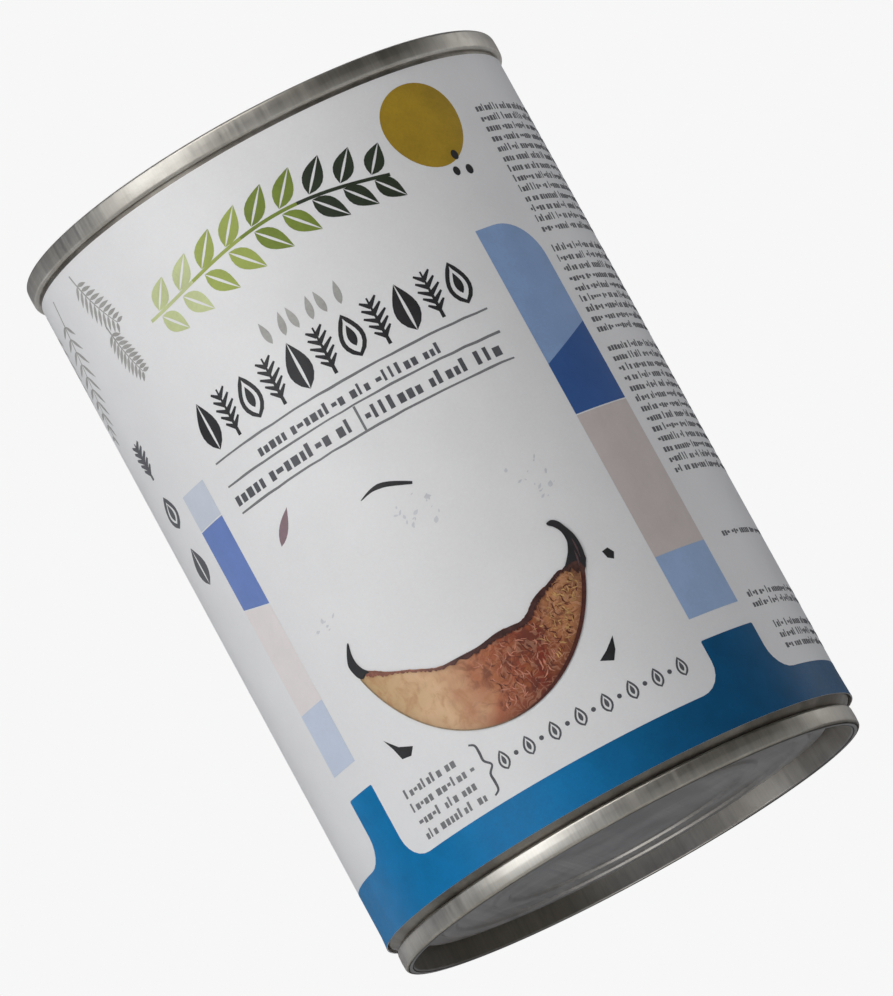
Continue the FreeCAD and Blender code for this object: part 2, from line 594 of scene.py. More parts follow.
@dataclass(frozen=True)
class ShellPrint(Finish):
    """The printed coconut shell: tan at its left, red-brown in the middle, dark at its right."""

    name: str
    centre: Point
    half_width: float
    depth: float
    fullness: float
    tones: tuple[tuple[float, Colour], ...]
    fibre: Colour
    stain: Colour
    shadow: Colour
    fibre_scale: float = 620.0
    fibre_width: float = 0.06
    fibre_light: float = 0.6
    fibre_glint: float = 0.55
    dark_fibre_scale: float = 1.3
    grain_stretch: float = 0.7
    stain_strength: float = 0.7
    stain_scale: float = 0.6
    blotch_scale: float = 420.0
    blotch_depth: float = 0.01 * MM
    blotch_relief: float = 0.4
    wander: float = 0.05
    roughness: Point = (0.38, 0.48)
    gloss: float = 0.3

    def curls(self, graph: Graph, scale: float, share: Socket) -> Socket:
        """Thin curly fibres, drawn where a swirled noise crosses its middle.

        Args:
            graph: The material's graph.
            scale: How many curls there are in a metre.
            share: How strong they are.

        Returns:
            The fibres, from 0 to 1.
        """
        swirled = graph.noise(graph.place(), scale, 2.0, 0.5, swirl=1.0)
        away = graph.maths("ABSOLUTE", graph.maths("SUBTRACT", swirled, 0.5))
        line = graph.remap(away, (0.0, self.fibre_width), (1.0, 0.0), smooth=True)
        return graph.maths("MULTIPLY", line, share)

    def stained(self, graph: Graph, share: Socket) -> Socket:
        """The shell's tones from left to right, with a stained grain.

        Args:
            graph: The material's graph.
            share: How far across the shell a place is, from 0 to 1.

        Returns:
            The colour.
        """
        broad = graph.noise(graph.place(), self.blotch_scale * self.stain_scale)
        offset = graph.remap(broad, (0.3, 0.7), (-1.0, 1.0))
        base = graph.ramp(graph.maths("MULTIPLY_ADD", offset, self.wander, share), self.tones)
        upright = graph.place((1.0, 1.0, self.grain_stretch))
        grain = graph.noise(upright, self.fibre_scale, 4.0, 0.6, swirl=0.6)
        stain = graph.remap(grain, (0.42, 0.68), (0.0, 0.6), smooth=True)
        stain = graph.maths("MULTIPLY", stain, self.stain_strength)
        return graph.blend(stain, base, self.stain.linear())

    def rim_shade(self, graph: Graph, share: Socket) -> Socket:
        """The shade inside the round lower edge, where the shell turns away at its right.

        Args:
            graph: The material's graph.
            share: How far across the shell a place is, from 0 to 1.

        Returns:
            The shade, from 0 to 1.
        """
        from_middle = graph.maths("SUBTRACT", graph.axis("X"), self.centre[0])
        out = graph.maths("DIVIDE", from_middle, self.half_width)
        from_rim = graph.maths("SUBTRACT", self.centre[1], graph.axis("Z"))
        down = graph.maths("DIVIDE", from_rim, self.depth)
        fall = graph.maths("POWER", down, 1 / self.fullness)
        reach = graph.maths("MULTIPLY_ADD", out, out, fall)
        turned = graph.remap(share, (0.30, 0.62), (0.15, 0.85), smooth=True)
        return graph.maths("MULTIPLY", graph.remap(reach, (0.80, 1.0), smooth=True), turned)

    def material(self) -> bpy.types.Material:
        """Builds the shell's material.

        Returns:
            The material.
        """
        graph = Graph(self.name)
        left = self.centre[0] - self.half_width
        from_left = graph.maths("SUBTRACT", graph.axis("X"), left)
        share = graph.maths("DIVIDE", from_left, 2 * self.half_width)
        base = self.stained(graph, share)
        blotch = graph.noise(graph.place(), self.blotch_scale, 4.0, 0.6, swirl=0.8)
        mottled = graph.remap(share, (0.32, 0.50), (0.10, 0.75), smooth=True)
        blotched = graph.remap(blotch, (0.48, 0.66), smooth=True)
        blotches = graph.maths("MULTIPLY", blotched, mottled)
        hairy = graph.remap(share, (0.40, 0.58), (0.0, 0.6), smooth=True)
        dark = graph.maths("MAXIMUM", self.rim_shade(graph, share), blotches)
        dark_fibres = self.curls(graph, self.fibre_scale * self.dark_fibre_scale, hairy)
        dark = graph.maths("MAXIMUM", dark, dark_fibres)
        shaded = graph.blend(dark, base, self.shadow.linear())
        fibres = self.curls(graph, self.fibre_scale, hairy)
        light = graph.maths("MULTIPLY", fibres, self.fibre_light)
        glint = graph.blend(self.fibre_glint, base, self.fibre.linear())
        graph.surface(Base_Color=graph.blend(light, shaded, glint))
        graph.surface(Roughness=graph.remap(blotch, USUAL_NOISE, self.roughness))
        graph.shader.inputs["Specular IOR Level"].default_value = self.gloss
        graph.relief(blotch, self.blotch_depth, self.blotch_relief)
        return graph.material


@dataclass(frozen=True)
class OneSided(Finish):
    """Matt pale floor paint that only shows from above, with a painted glow that grows far out
    until it meets the backdrop.
    """

    name: str
    colour: Colour
    backdrop: float
    ramp_span: Point = (0.28, 2.6)
    own_light: float = 0.15
    roughness: float = 0.85
    cloud_scale: float = 3.0
    cloud_shades: Point = (0.985, 1.015)

    def material(self) -> bpy.types.Material:
        """Builds the floor's material.

        Returns:
            The material.
        """
        graph = Graph(self.name)
        clouds = graph.noise(graph.place(), self.cloud_scale, 3.0)
        shade = graph.remap(clouds, (0.3, 0.7), self.cloud_shades)
        tint = graph.blend(1.0, self.colour.linear(), shade, "MULTIPLY")
        graph.surface(Base_Color=tint, Roughness=self.roughness)
        across, along = graph.axis("X"), graph.axis("Y")
        squared = graph.maths("MULTIPLY_ADD", across, across, graph.maths("MULTIPLY", along, along))
        away = graph.maths("SQRT", squared)
        # Painted light: the floor glows more the farther out it is.
        glow = graph.remap(away, self.ramp_span, (0.0, self.backdrop - self.own_light), smooth=True)
        graph.surface(Emission_Color=(1.0, 1.0, 1.0, 1.0), Emission_Strength=glow)
        behind = graph.add("ShaderNodeNewGeometry").outputs["Backfacing"]
        clear = graph.add("ShaderNodeBsdfTransparent").outputs["BSDF"]
        shown = graph.either(behind, graph.shader.outputs["BSDF"], clear)
        graph.feed(graph.output.inputs["Surface"], shown)
        return graph.material


# ---------------------------------------------------------------- making pieces


def dress(piece: Piece, finish: Finish, stands_for: str = "") -> Piece:
    """Gives a piece its finish and its place in the part.

    Args:
        piece: The piece.
        finish: Its finish.
        stands_for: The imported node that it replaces, if any.

    Returns:
        The same piece.
    """
    piece.data.materials.append(material_of(finish))
    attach(piece, BODY)
    if stands_for:
        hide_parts(stands_for)
    return piece


def new_piece(name: str, points: Sequence[Vector], faces: Sequence[Sequence[int]]) -> Piece:
    """Makes a smooth mesh object.

    Args:
        name: The object's name.
        points: Its vertices.
        faces: Its faces, as vertex numbers.

    Returns:
        The object, in the scene.
    """
    mesh = bpy.data.meshes.new(name)
    mesh.from_pydata([tuple(point) for point in points], [], [tuple(face) for face in faces])
    mesh.validate()
    mesh.shade_smooth()
    piece = bpy.data.objects.new(name, mesh)
    bpy.context.scene.collection.objects.link(piece)
    return piece


def lathe(name: str, outline: Sequence[Point]) -> Piece:
    """Turns an outline about the can's axis into a closed piece.

    Args:
        name: The piece's name.
        outline: Points as distance from the axis and height. It is a closed loop, or it starts
            and ends on the axis.

    Returns:
        The piece.
    """
    points: list[Vector] = []
    rings: list[list[int]] = []
    for out, up in outline:
        count = 1 if out < ON_AXIS else TURN_STEPS
        start = len(points)
        for step in range(count):
            turn = math.tau * step / TURN_STEPS
            points.append(Vector((out * math.cos(turn), out * math.sin(turn), up)))
        rings.append([start + step % count for step in range(TURN_STEPS + 1)])
    if len(set(rings[0])) > 1:
        rings.append(rings[0])
    faces: list[list[int]] = []
    for lower, upper in zip(rings, rings[1:]):
        for step in range(TURN_STEPS):
            around = (lower[step], lower[step + 1], upper[step + 1], upper[step])
            face = list(dict.fromkeys(around))
            if len(face) > 2:
                faces.append(face)
    piece = new_piece(name, points, faces)
    shape = bmesh.new()
    shape.from_mesh(piece.data)
    bmesh.ops.recalc_face_normals(shape, faces=shape.faces[:])
    shape.to_mesh(piece.data)
    shape.free()
    piece.data.set_sharp_from_angle(angle=SHARP_EDGE)
    return piece


# ---------------------------------------------------------------- tinplate


TINPLATE = Tinplate("tinplate", Colour(203, 199, 191), Colour(182, 177, 168), (0.30, 0.44))
# A darker, rougher copy of the tinplate for the wall: painted shade on the bare strips between the
# label and the seams.
PAINTED_SHADE_TINPLATE = Tinplate(
    "tinplate_painted_shade", Colour(158, 153, 145), Colour(118, 112, 104), (0.36, 0.48)
)


class EndKind(Enum):
    """Which end of the can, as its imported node's name."""

    FOOT = "bottom_end"
    HEAD = "top_end"


@dataclass
class SeamedEnd:
    """One seamed end: seam ring, chuck wall, countersink groove, panel and expansion beads."""

    kind: EndKind
    seam_height: float = 3.0 * MM
    seam_overhang: float = 0.9 * MM
    chuck_inset: float = 0.45 * MM
    chuck_taper: float = 0.3 * MM
    sheet: float = 0.22 * MM
    groove_depth: float = 4.0 * MM
    groove_width: float = 1.8 * MM
    panel_depth: float = 2.6 * MM
    panel_wall_run: float = 0.4 * MM
    bead_height: float = 0.5 * MM
    bead_width: float = 1.8 * MM
    bead_slope: float = 0.5 * MM
    bead_insets: tuple[float, ...] = (12.5 * MM, 4.2 * MM)
    bead_foot_round: float = 0.6 * MM
    bead_top_round: float = 0.5 * MM
    groove_round: float = 0.5 * MM
    crest_inner_round: float = 0.35 * MM
    crest_outer_round: float = 0.5 * MM
    crest_setback: float = 0.05 * MM
    belly_round: float = 3.0 * MM
    hook_setback: float = 0.08 * MM
    hook_round: float = 0.55 * MM
    hidden_round: float = 0.3 * MM

    def __post_init__(self) -> None:
        """Takes the end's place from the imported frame."""
        low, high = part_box(self.kind.value)
        self.seam = high.x
        self.wall = self.seam - self.seam_overhang
        self.crest = low.z if self.kind is EndKind.FOOT else high.z

    def beads(self, panel: float) -> list[Corner]:
        """The expansion beads' corners, from the axis outwards.

        Args:
            panel: The panel's radius.

        Returns:
            Four corners for each bead.
        """
        corners: list[Corner] = []
        top = self.panel_depth - self.bead_height
        for inset in self.bead_insets:
            middle, half = panel - inset, self.bead_width / 2
            corners += [
                Corner(middle - half - self.bead_slope, self.panel_depth, self.bead_foot_round),
                Corner(middle - half, top, self.bead_top_round),
                Corner(middle + half, top, self.bead_top_round),
                Corner(middle + half + self.bead_slope, self.panel_depth, self.bead_foot_round),
            ]
        return corners

    def outline(self) -> list[Point]:
        """The end's section, from the axis out and back, with its crest at height 0.

        Returns:
            Points as distance from the axis and height.
        """
        chuck = self.wall - self.chuck_inset
        groove = chuck - self.chuck_taper
        foot = groove - self.groove_width
        panel = foot - self.panel_wall_run
        groove_back = self.groove_depth + self.sheet
        panel_back = self.panel_depth + self.sheet
        corners = [
            Corner(0.0, self.panel_depth),
            *self.beads(panel),
            Corner(panel, self.panel_depth, self.groove_round),
            Corner(foot, self.groove_depth, self.groove_round),
            Corner(groove, self.groove_depth, self.groove_round),
            Corner(chuck, 0.0, self.crest_inner_round),
            Corner(self.seam - self.crest_setback, 0.0, self.crest_outer_round),
            Corner(self.seam, self.seam_height / 2, self.belly_round),
            Corner(self.seam - self.hook_setback, self.seam_height, self.hook_round),
            Corner(self.wall, self.seam_height),
            Corner(chuck + self.sheet, self.seam_height),
            Corner(groove + self.sheet, groove_back, self.hidden_round),
            Corner(foot - self.sheet, groove_back, self.hidden_round),
            Corner(panel - self.sheet, panel_back, self.hidden_round),
            Corner(0.0, panel_back),
        ]
        return rounded(corners, closed=False)

    def build(self) -> list[Piece]:
        """Makes and dresses the end.

        Returns:
            The end's one piece.
        """
        if self.kind is EndKind.HEAD:
            placed = [(out, self.crest - up) for out, up in self.outline()]
            piece, slot = lathe("head_end", placed), "tinplate_head_end"
        else:
            placed = [(out, self.crest + up) for out, up in self.outline()]
            piece, slot = lathe("foot_end", placed), "tinplate_foot_end"
        return [dress(piece, TINPLATE, self.kind.value)]


@dataclass
class TinWall:
    """The can's wall: a sheet that hooks into both seams and necks in above the foot."""

    foot_end: SeamedEnd
    head_end: SeamedEnd
    sheet: float = 0.2 * MM
    neck_rise: float = 1.6 * MM
    neck_round: float = 0.3 * MM
    shoulder_round: float = 1.2 * MM
    hooked: float = 0.4 * MM

    def build(self) -> list[Piece]:
        """Makes and dresses the wall.

        Returns:
            The wall's one piece.
        """
        foot, head = self.foot_end.wall, self.head_end.wall
        seam = self.foot_end.seam_height
        low = self.foot_end.crest + seam
        high = self.head_end.crest - seam
        shoulder = low + self.neck_rise
        outside = [
            Corner(foot, low - self.hooked),
            Corner(foot, low, self.neck_round),
            Corner(head, shoulder, self.shoulder_round),
            Corner(head, high + self.hooked),
        ]
        inside = [Corner(c.across - self.sheet, c.up, c.radius) for c in reversed(outside)]
        piece = lathe("tin_wall", rounded([*outside, *inside]))
        # The wall's darker tinplate is painted shade.
        return [dress(piece, PAINTED_SHADE_TINPLATE, "can_body")]


# ---------------------------------------------------------------- the label


PAPER = Printed("label_paper", Colour(233, 232, 232), patchy=0.03, patch_scale=60.0)


@dataclass
class LabelSheet:
    """The label's paper, one wrap with a glued lap at the back and a slightly flared foot."""

    lap: float = 8.0 * MM
    lap_rise: float = 2.5 * MM
    gauge: float = 0.15 * MM
    inner_gap: float = 0.01 * MM
    flare: float = 0.14 * MM
    flare_height: float = 2.4 * MM
    flare_rows: int = 6
    upper_rows: int = 16

    def __post_init__(self) -> None:
        """Takes the sheet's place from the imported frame."""
        low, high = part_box("paper_label")
        self.radius = high.x
        self.foot = low.z
        self.head = high.z
        self.half_turn = math.pi * self.radius
        self.slice = math.tau * self.radius / TURN_STEPS

    @property
    def visible(self) -> Point:
        """Where the shown face starts and ends across: at the lap's free edge, both times."""
        return self.lap - self.half_turn, self.lap + self.half_turn

    def radius_at(self, across: float, up: float) -> float:
        """The outer face's distance from the axis.

        Args:
            across: The place across, past half a turn on the lap.
            up: The place up.

        Returns:
            The radius there.
        """
        raised = (across - self.half_turn + self.lap_rise) / self.lap_rise
        raised = min(max(raised, 0.0), 1.0)
        raised = raised * raised * (3 - 2 * raised)
        near_foot = max(0.0, 1 - (up - self.foot) / self.flare_height)
        return self.radius + self.gauge * raised + self.flare * near_foot**2

    def point(self, across: float, up: float, lift: float = 0.0) -> Vector:
        """A place on the wrapped sheet.

        Args:
            across: The place across.
            up: The place up.
            lift: How far it stands out of the outer face.

        Returns:
            The place in the part's frame.
        """
        turn = across / self.radius
        out = self.radius_at(across, up) + lift
        return Vector((out * math.sin(turn), -out * math.cos(turn), up))

    def build(self) -> list[Piece]:
        """Makes and dresses the sheet.

        Returns:
            The sheet's one piece.
        """
        steps = range(self.flare_rows + 1)
        rows = [self.foot + self.flare_height * step / self.flare_rows for step in steps]
        last = rows[-1]
        above = self.head - last
        rows += [last + above * step / self.upper_rows for step in range(1, self.upper_rows + 1)]
        count = math.ceil((2 * self.half_turn + self.lap) / self.slice)
        width = (2 * self.half_turn + self.lap) / count
        columns = [-self.half_turn + width * step for step in range(count + 1)]
        sides = (0.0, self.inner_gap - self.gauge)
        points = [self.point(a, u, lift) for lift in sides for a in columns for u in rows]
        tall, wide = len(rows), len(columns)

        def number(side: int, column: int, row: int) -> int:
            """The number of a grid point on the outer (0) or inner (1) face."""
            return (side * wide + column) * tall + row

        faces: list[tuple[int, ...]] = []
        for c in range(wide - 1):
            for r in range(tall - 1):
                around = ((c, r), (c + 1, r), (c + 1, r + 1), (c, r + 1))
                outer = [number(0, column, row) for column, row in around]
                inner = [corner + wide * tall for corner in reversed(outer)]
                faces += [tuple(outer), tuple(inner)]
            for row in (0, tall - 1):
                around = ((0, c), (1, c), (1, c + 1), (0, c + 1))
                edge = [number(side, column, row) for side, column in around]
                faces.append(tuple(edge if row == 0 else edge[::-1]))
        for r in range(tall - 1):
            for column in (0, wide - 1):
                around = ((0, r), (0, r + 1), (1, r + 1), (1, r))
                edge = [number(side, column, row) for side, row in around]
                faces.append(tuple(edge if column == 0 else edge[::-1]))
        piece = new_piece("label_sheet", points, faces)
        piece.data.set_sharp_from_angle(angle=SHARP_EDGE)
        return [dress(piece, PAPER, "paper_label")]


class FlatArt:
    """Shapes drawn on the flat label, then wrapped round it as one thin closed film of ink."""

    def __init__(self) -> None:
        """Starts with no shapes."""
        self.mesh = bmesh.new()

    def fill(self, outline: Sequence[Point]) -> None:
        """Adds a filled outline that has no hole."""
        self.mesh.faces.new([self.mesh.verts.new((*point, 0.0)) for point in outline])

    def block(self, left: float, right: float, low: float, high: float) -> None:
        """Adds an upright rectangle."""
        self.fill([(left, low), (right, low), (right, high), (left, high)])

    def stroke(
        self, line: Sequence[Point], widths: float | Sequence[float], closed: bool = False
    ) -> None:
        """Adds a pen stroke.

        Args:
            line: The points that the stroke follows.
            widths: One width, or widths spread evenly from its start to its end.
            closed: Whether the stroke returns to its start.
        """
        spread = [widths, widths] if isinstance(widths, float) else list(widths)
        path = [Vector(point) for point in line]
        last = len(path) - 1
        sides: list[tuple[bmesh.types.BMVert, bmesh.types.BMVert]] = []
        for i, here in enumerate(path):
            before = path[i - 1] if i or closed else here
            after = path[(i + 1) % len(path)] if i < last or closed else here
            along = (after - before).normalized()
            share = i / last * (len(spread) - 1)
            k = min(int(share), len(spread) - 2)
            width = spread[k] + (spread[k + 1] - spread[k]) * (share - k)
            out = Vector((-along.y, along.x)) * width / 2
            left, right = here + out, here - out
            sides.append((self.mesh.verts.new((*left, 0.0)), self.mesh.verts.new((*right, 0.0))))
        if closed:
            sides.append(sides[0])
        for (left, right), (next_left, next_right) in zip(sides, sides[1:]):
            self.mesh.faces.new((right, next_right, next_left, left))

    def _cut_into_slices(self, sheet: LabelSheet) -> None:
        """Cuts the shapes upright, so that they bend with the sheet.

        Args:
            sheet: The label that they are printed on.
        """
        for face in self.mesh.faces:
            face.normal_update()
        bmesh.ops.triangulate(self.mesh, faces=self.mesh.faces[:])
        places = [vertex.co.x for vertex in self.mesh.verts]
        first = math.floor(min(places) / sheet.slice) + 1
        last = math.ceil(max(places) / sheet.slice) - 1
        for number in range(first, last + 1):
            everything = [*self.mesh.verts, *self.mesh.edges, *self.mesh.faces]
            cut = (number * sheet.slice, 0.0, 0.0)
            bmesh.ops.bisect_plane(
                self.mesh, geom=everything, plane_co=cut, plane_no=(1, 0, 0), dist=CUT_TOLERANCE
            )

    def wrap(self, sheet: LabelSheet, name: str, layer: int = 1) -> Piece:
        """Wraps the shapes round the can.

        Args:
            sheet: The label that they are printed on.
            name: The piece's name.
            layer: 1 on the bare paper, 2 on another print.

        Returns:
            The piece, with no finish yet.
        """
        self._cut_into_slices(sheet)
        for face in self.mesh.faces:
            face.normal_update()
            if face.normal.z < 0:
                face.normal_flip()
        self.mesh.verts.index_update()
        flat = [vertex.co.copy() for vertex in self.mesh.verts]
        top, bottom = layer * INK_LIFT, -INK_SUNK
        points = [sheet.point(spot.x, spot.y, lift) for lift in (top, bottom) for spot in flat]
        faces: list[list[int]] = []
        count = len(flat)
        for face in self.mesh.faces:
            numbers = [vertex.index for vertex in face.verts]
            faces += [numbers, [number + count for number in reversed(numbers)]]
        for edge in self.mesh.edges:
            if len(edge.link_faces) == 1:
                loop = edge.link_loops[0]
                a, b = loop.vert.index, loop.link_loop_next.vert.index
                faces.append([b, a, a + count, b + count])
        self.mesh.free()
        piece = new_piece(name, points, faces)
        turned = [Vector((point.x, point.y, 0.0)).normalized() for point in points]
        piece.data.normals_split_custom_set_from_vertices(turned)
        return piece


# The band's blue turns darker towards +X: painted shade, for light that falls off across the can.
BASE_BLUE = Printed(
    "ink_base_blue", Colour(4, 118, 176), Colour(6, 82, 126), patchy=0.10, gloss=0.2
)
STEEL_BLUE = Printed("ink_steel_blue", Colour(139, 166, 207))
PALE_STEEL = Printed("ink_pale_steel", Colour(156, 180, 217))
NAVY = Printed("ink_navy", Colour(54, 92, 154))
TAUPE = Printed("ink_taupe", Colour(205, 194, 190), patchy=0.04)
LAVENDER = Printed("ink_lavender", Colour(205, 211, 222), patchy=0.03)
PERIWINKLE = Printed("ink_periwinkle", Colour(112, 136, 196))
BEIGE = Printed("ink_beige", Colour(233, 226, 224), patchy=0.03)
PALE_BLUE = Printed("ink_pale_blue", Colour(201, 210, 227), patchy=0.04)
MUSTARD = Printed("ink_mustard", Colour(170, 138, 38), patchy=0.14, patch_scale=180.0)
BLACK = Printed("ink_black", Colour(46, 45, 47), patchy=0.20)
DARK_GREY = Printed("ink_dark_grey", Colour(88, 88, 92), patchy=0.15)
MID_GREY = Printed("ink_mid_grey", Colour(122, 122, 124), patchy=0.12)
SOFT_GREY = Printed("ink_soft_grey", Colour(168, 166, 162), patchy=0.16)
FAINT_GREY = Printed("ink_faint_grey", Colour(212, 212, 215), patchy=0.04)
PALE_LIME = Printed("ink_pale_lime", Colour(196, 203, 150), patchy=0.08)
LIME = Printed("ink_lime", Colour(160, 172, 84), patchy=0.10)
LEAF_GREEN = Printed("ink_leaf_green", Colour(120, 136, 56), patchy=0.12)
DARK_GREEN = Printed("ink_dark_green", Colour(48, 56, 42), patchy=0.18)
UMBER = Printed("ink_umber", Colour(76, 50, 44), patchy=0.5, patch_scale=900.0)
SHEEN_BROWN = Printed("ink_sheen_brown", Colour(96, 74, 76), patchy=0.3)
PLUM = Printed("ink_plum", Colour(142, 118, 124), patchy=0.12)


@dataclass
class Print:
    """A part of the label's print: it draws shapes for each ink and wraps them on the sheet."""

    sheet: LabelSheet

    def printed(
        self, name: str, finish: Finish, draw: Callable[[FlatArt], None], layer: int = 1
    ) -> Piece:
        """Draws, wraps and dresses one film of ink.

        Args:
            name: The piece's name.
            finish: Its finish.
            draw: Adds the shapes to the flat art.
            layer: 1 on the bare paper, 2 on another print.

        Returns:
            The piece.
        """
        art = FlatArt()
        draw(art)
        return dress(art.wrap(self.sheet, name, layer), finish)


@dataclass(frozen=True)
class Leg:
    """An upright blue leg between two white panels."""

    left: float
    right: float
    top: float
    left_panel: float
    right_panel: float


@dataclass
class BaseBand(Print):
    """The blue band round the foot, with legs that rise between the rounded white panels."""

    corner: float = 4.0 * MM
    leg_corner: float = 0.3 * MM
    legs: tuple[Leg, ...] = (
        Leg(-92.0 * MM, -86.0 * MM, 22.4 * MM, 9.6 * MM, 12.7 * MM),
        Leg(-32.8 * MM, -26.5 * MM, 22.3 * MM, 12.7 * MM, 9.9 * MM),
        Leg(27.5 * MM, 38.0 * MM, 17.0 * MM, 9.9 * MM, 9.4 * MM),
        Leg(84.0 * MM, 94.0 * MM, 17.0 * MM, 9.4 * MM, 9.6 * MM),
    )

    def draw(self, art: FlatArt) -> None:
        """Draws the band as one outline, from its lower edge round its top from the right.

        Args:
            art: The flat art.
        """
        start, end = self.sheet.visible
        low = self.sheet.foot
        corners = [Corner(start, low), Corner(end, low), Corner(end, self.legs[-1].right_panel)]
        for leg in reversed(self.legs):
            corners += [
                Corner(leg.right, leg.right_panel, self.corner),
                Corner(leg.right, leg.top, self.leg_corner),
                Corner(leg.left, leg.top, self.leg_corner),
                Corner(leg.left, leg.left_panel, self.corner),
            ]
        corners.append(Corner(start, self.legs[0].left_panel))
        art.fill(rounded(corners))

    def build(self) -> list[Piece]:
        """Prints the band."""
        return [self.printed("ink_base_band", BASE_BLUE, self.draw)]


@dataclass(frozen=True)
class Block:
    """One block of a colour column: its ink, and its corners from the lower left, anticlockwise."""

    finish: Printed
    corners: tuple[Corner, ...]


def block(
    finish: Printed, left: float, right: float, low: Point, high: Point, arch: float = 0.0
) -> Block:
    """Describes a block whose top and bottom may slant.

    Args:
        finish: Its ink.
        left: Its left edge.
        right: Its right edge.
        low: Its lower edge's height at the left and at the right.
        high: Its upper edge's height at the left and at the right.
        arch: The radius of its top right corner.

    Returns:
        The block, in metres from sizes in millimetres.
    """
    corners = (
        Corner(left * MM, low[0] * MM),
        Corner(right * MM, low[1] * MM),
        Corner(right * MM, high[1] * MM, arch * MM),
        Corner(left * MM, high[0] * MM),
    )
    return Block(finish, corners)


@dataclass
class ColourColumns(Print):
    """The stacked blocks of colour between the panels, at the front and again at the back."""

    blocks: tuple[Block, ...] = (
        block(STEEL_BLUE, 27.6, 37.6, (60.9, 65.2), (82.1, 82.1), 6.6),
        block(NAVY, 27.6, 37.6, (52.9, 52.9), (60.9, 65.2)),
        block(TAUPE, 27.6, 37.6, (30.2, 30.2), (52.7, 52.7)),
        block(PALE_STEEL, 27.6, 37.6, (20.4, 20.4), (30.2, 30.2)),
        block(LAVENDER, -33.4, -27.1, (65.5, 65.5), (71.0, 71.0)),
        block(PERIWINKLE, -33.4, -27.1, (52.9, 51.3), (65.3, 65.3)),
        block(BEIGE, -33.4, -27.1, (36.0, 36.0), (52.7, 51.1)),
        block(PALE_BLUE, -33.4, -27.1, (26.3, 26.3), (36.0, 36.0)),
        block(PERIWINKLE, 84.0, 94.0, (58.0, 54.0), (74.0, 74.0), 6.0),
        block(TAUPE, 84.0, 94.0, (40.0, 40.0), (57.8, 53.8)),
        block(STEEL_BLUE, 84.0, 94.0, (20.4, 20.4), (40.0, 40.0)),
        block(PALE_STEEL, -92.0, -86.0, (62.0, 66.0), (79.0, 79.0)),
        block(NAVY, -92.0, -86.0, (46.0, 46.0), (61.8, 65.8)),
        block(BEIGE, -92.0, -86.0, (26.0, 26.0), (46.0, 46.0)),
    )
    arch_steps: int = 14

    def draw_ink(self, finish: Printed, art: FlatArt) -> None:
        """Draws the blocks of one ink.

        Args:
            finish: The ink.
            art: The flat art.
        """
        for item in self.blocks:
            if item.finish is finish:
                art.fill(rounded(item.corners, steps=self.arch_steps))

    def build(self) -> list[Piece]:
        """Prints each ink's blocks as one film.

        Returns:
            One piece for each ink.
        """
        return [
            self.printed(f"{finish.name}_blocks", finish, partial(self.draw_ink, finish))
            for finish in dict.fromkeys(item.finish for item in self.blocks)
        ]


@dataclass
class MustardDisc(Print):
    """The egg-shaped mustard disc near the top, with three small dark seeds at its foot."""

    centre: Point = (28.8 * MM, 98.8 * MM)
    half_width: float = 6.6 * MM
    half_height: float = 6.5 * MM
    taper: float = 0.10
    seed_slimness: float = 0.8
    seeds: tuple[tuple[float, float, float], ...] = (
        (31.0 * MM, 93.4 * MM, 0.75 * MM),
        (29.9 * MM, 91.1 * MM, 0.70 * MM),
        (32.2 * MM, 90.8 * MM, 0.75 * MM),
    )

    def draw_disc(self, art: FlatArt) -> None:
        """Draws the disc, a little narrower towards its foot.

        Args:
            art: The flat art.
        """
        across, up = self.centre
        outline: list[Point] = []
        for a, u in ellipse((0.0, 0.0), self.half_width, self.half_height, steps=48):
            narrowed = 1 + self.taper * u / self.half_height
            outline.append((across + a * narrowed, up + u))
        art.fill(outline)

    def draw_seeds(self, art: FlatArt) -> None:
        """Draws the seeds as small upright ovals."""
        for across, up, size in self.seeds:
            art.fill(ellipse((across, up), size * self.seed_slimness, size, steps=14))

    def build(self) -> list[Piece]:
        """Prints the disc and its seeds.

        Returns:
            A piece for the disc and a piece for the seeds.
        """
        return [
            self.printed("ink_disc", MUSTARD, self.draw_disc),
            self.printed("ink_disc_seeds", BLACK, self.draw_seeds, layer=2),
        ]


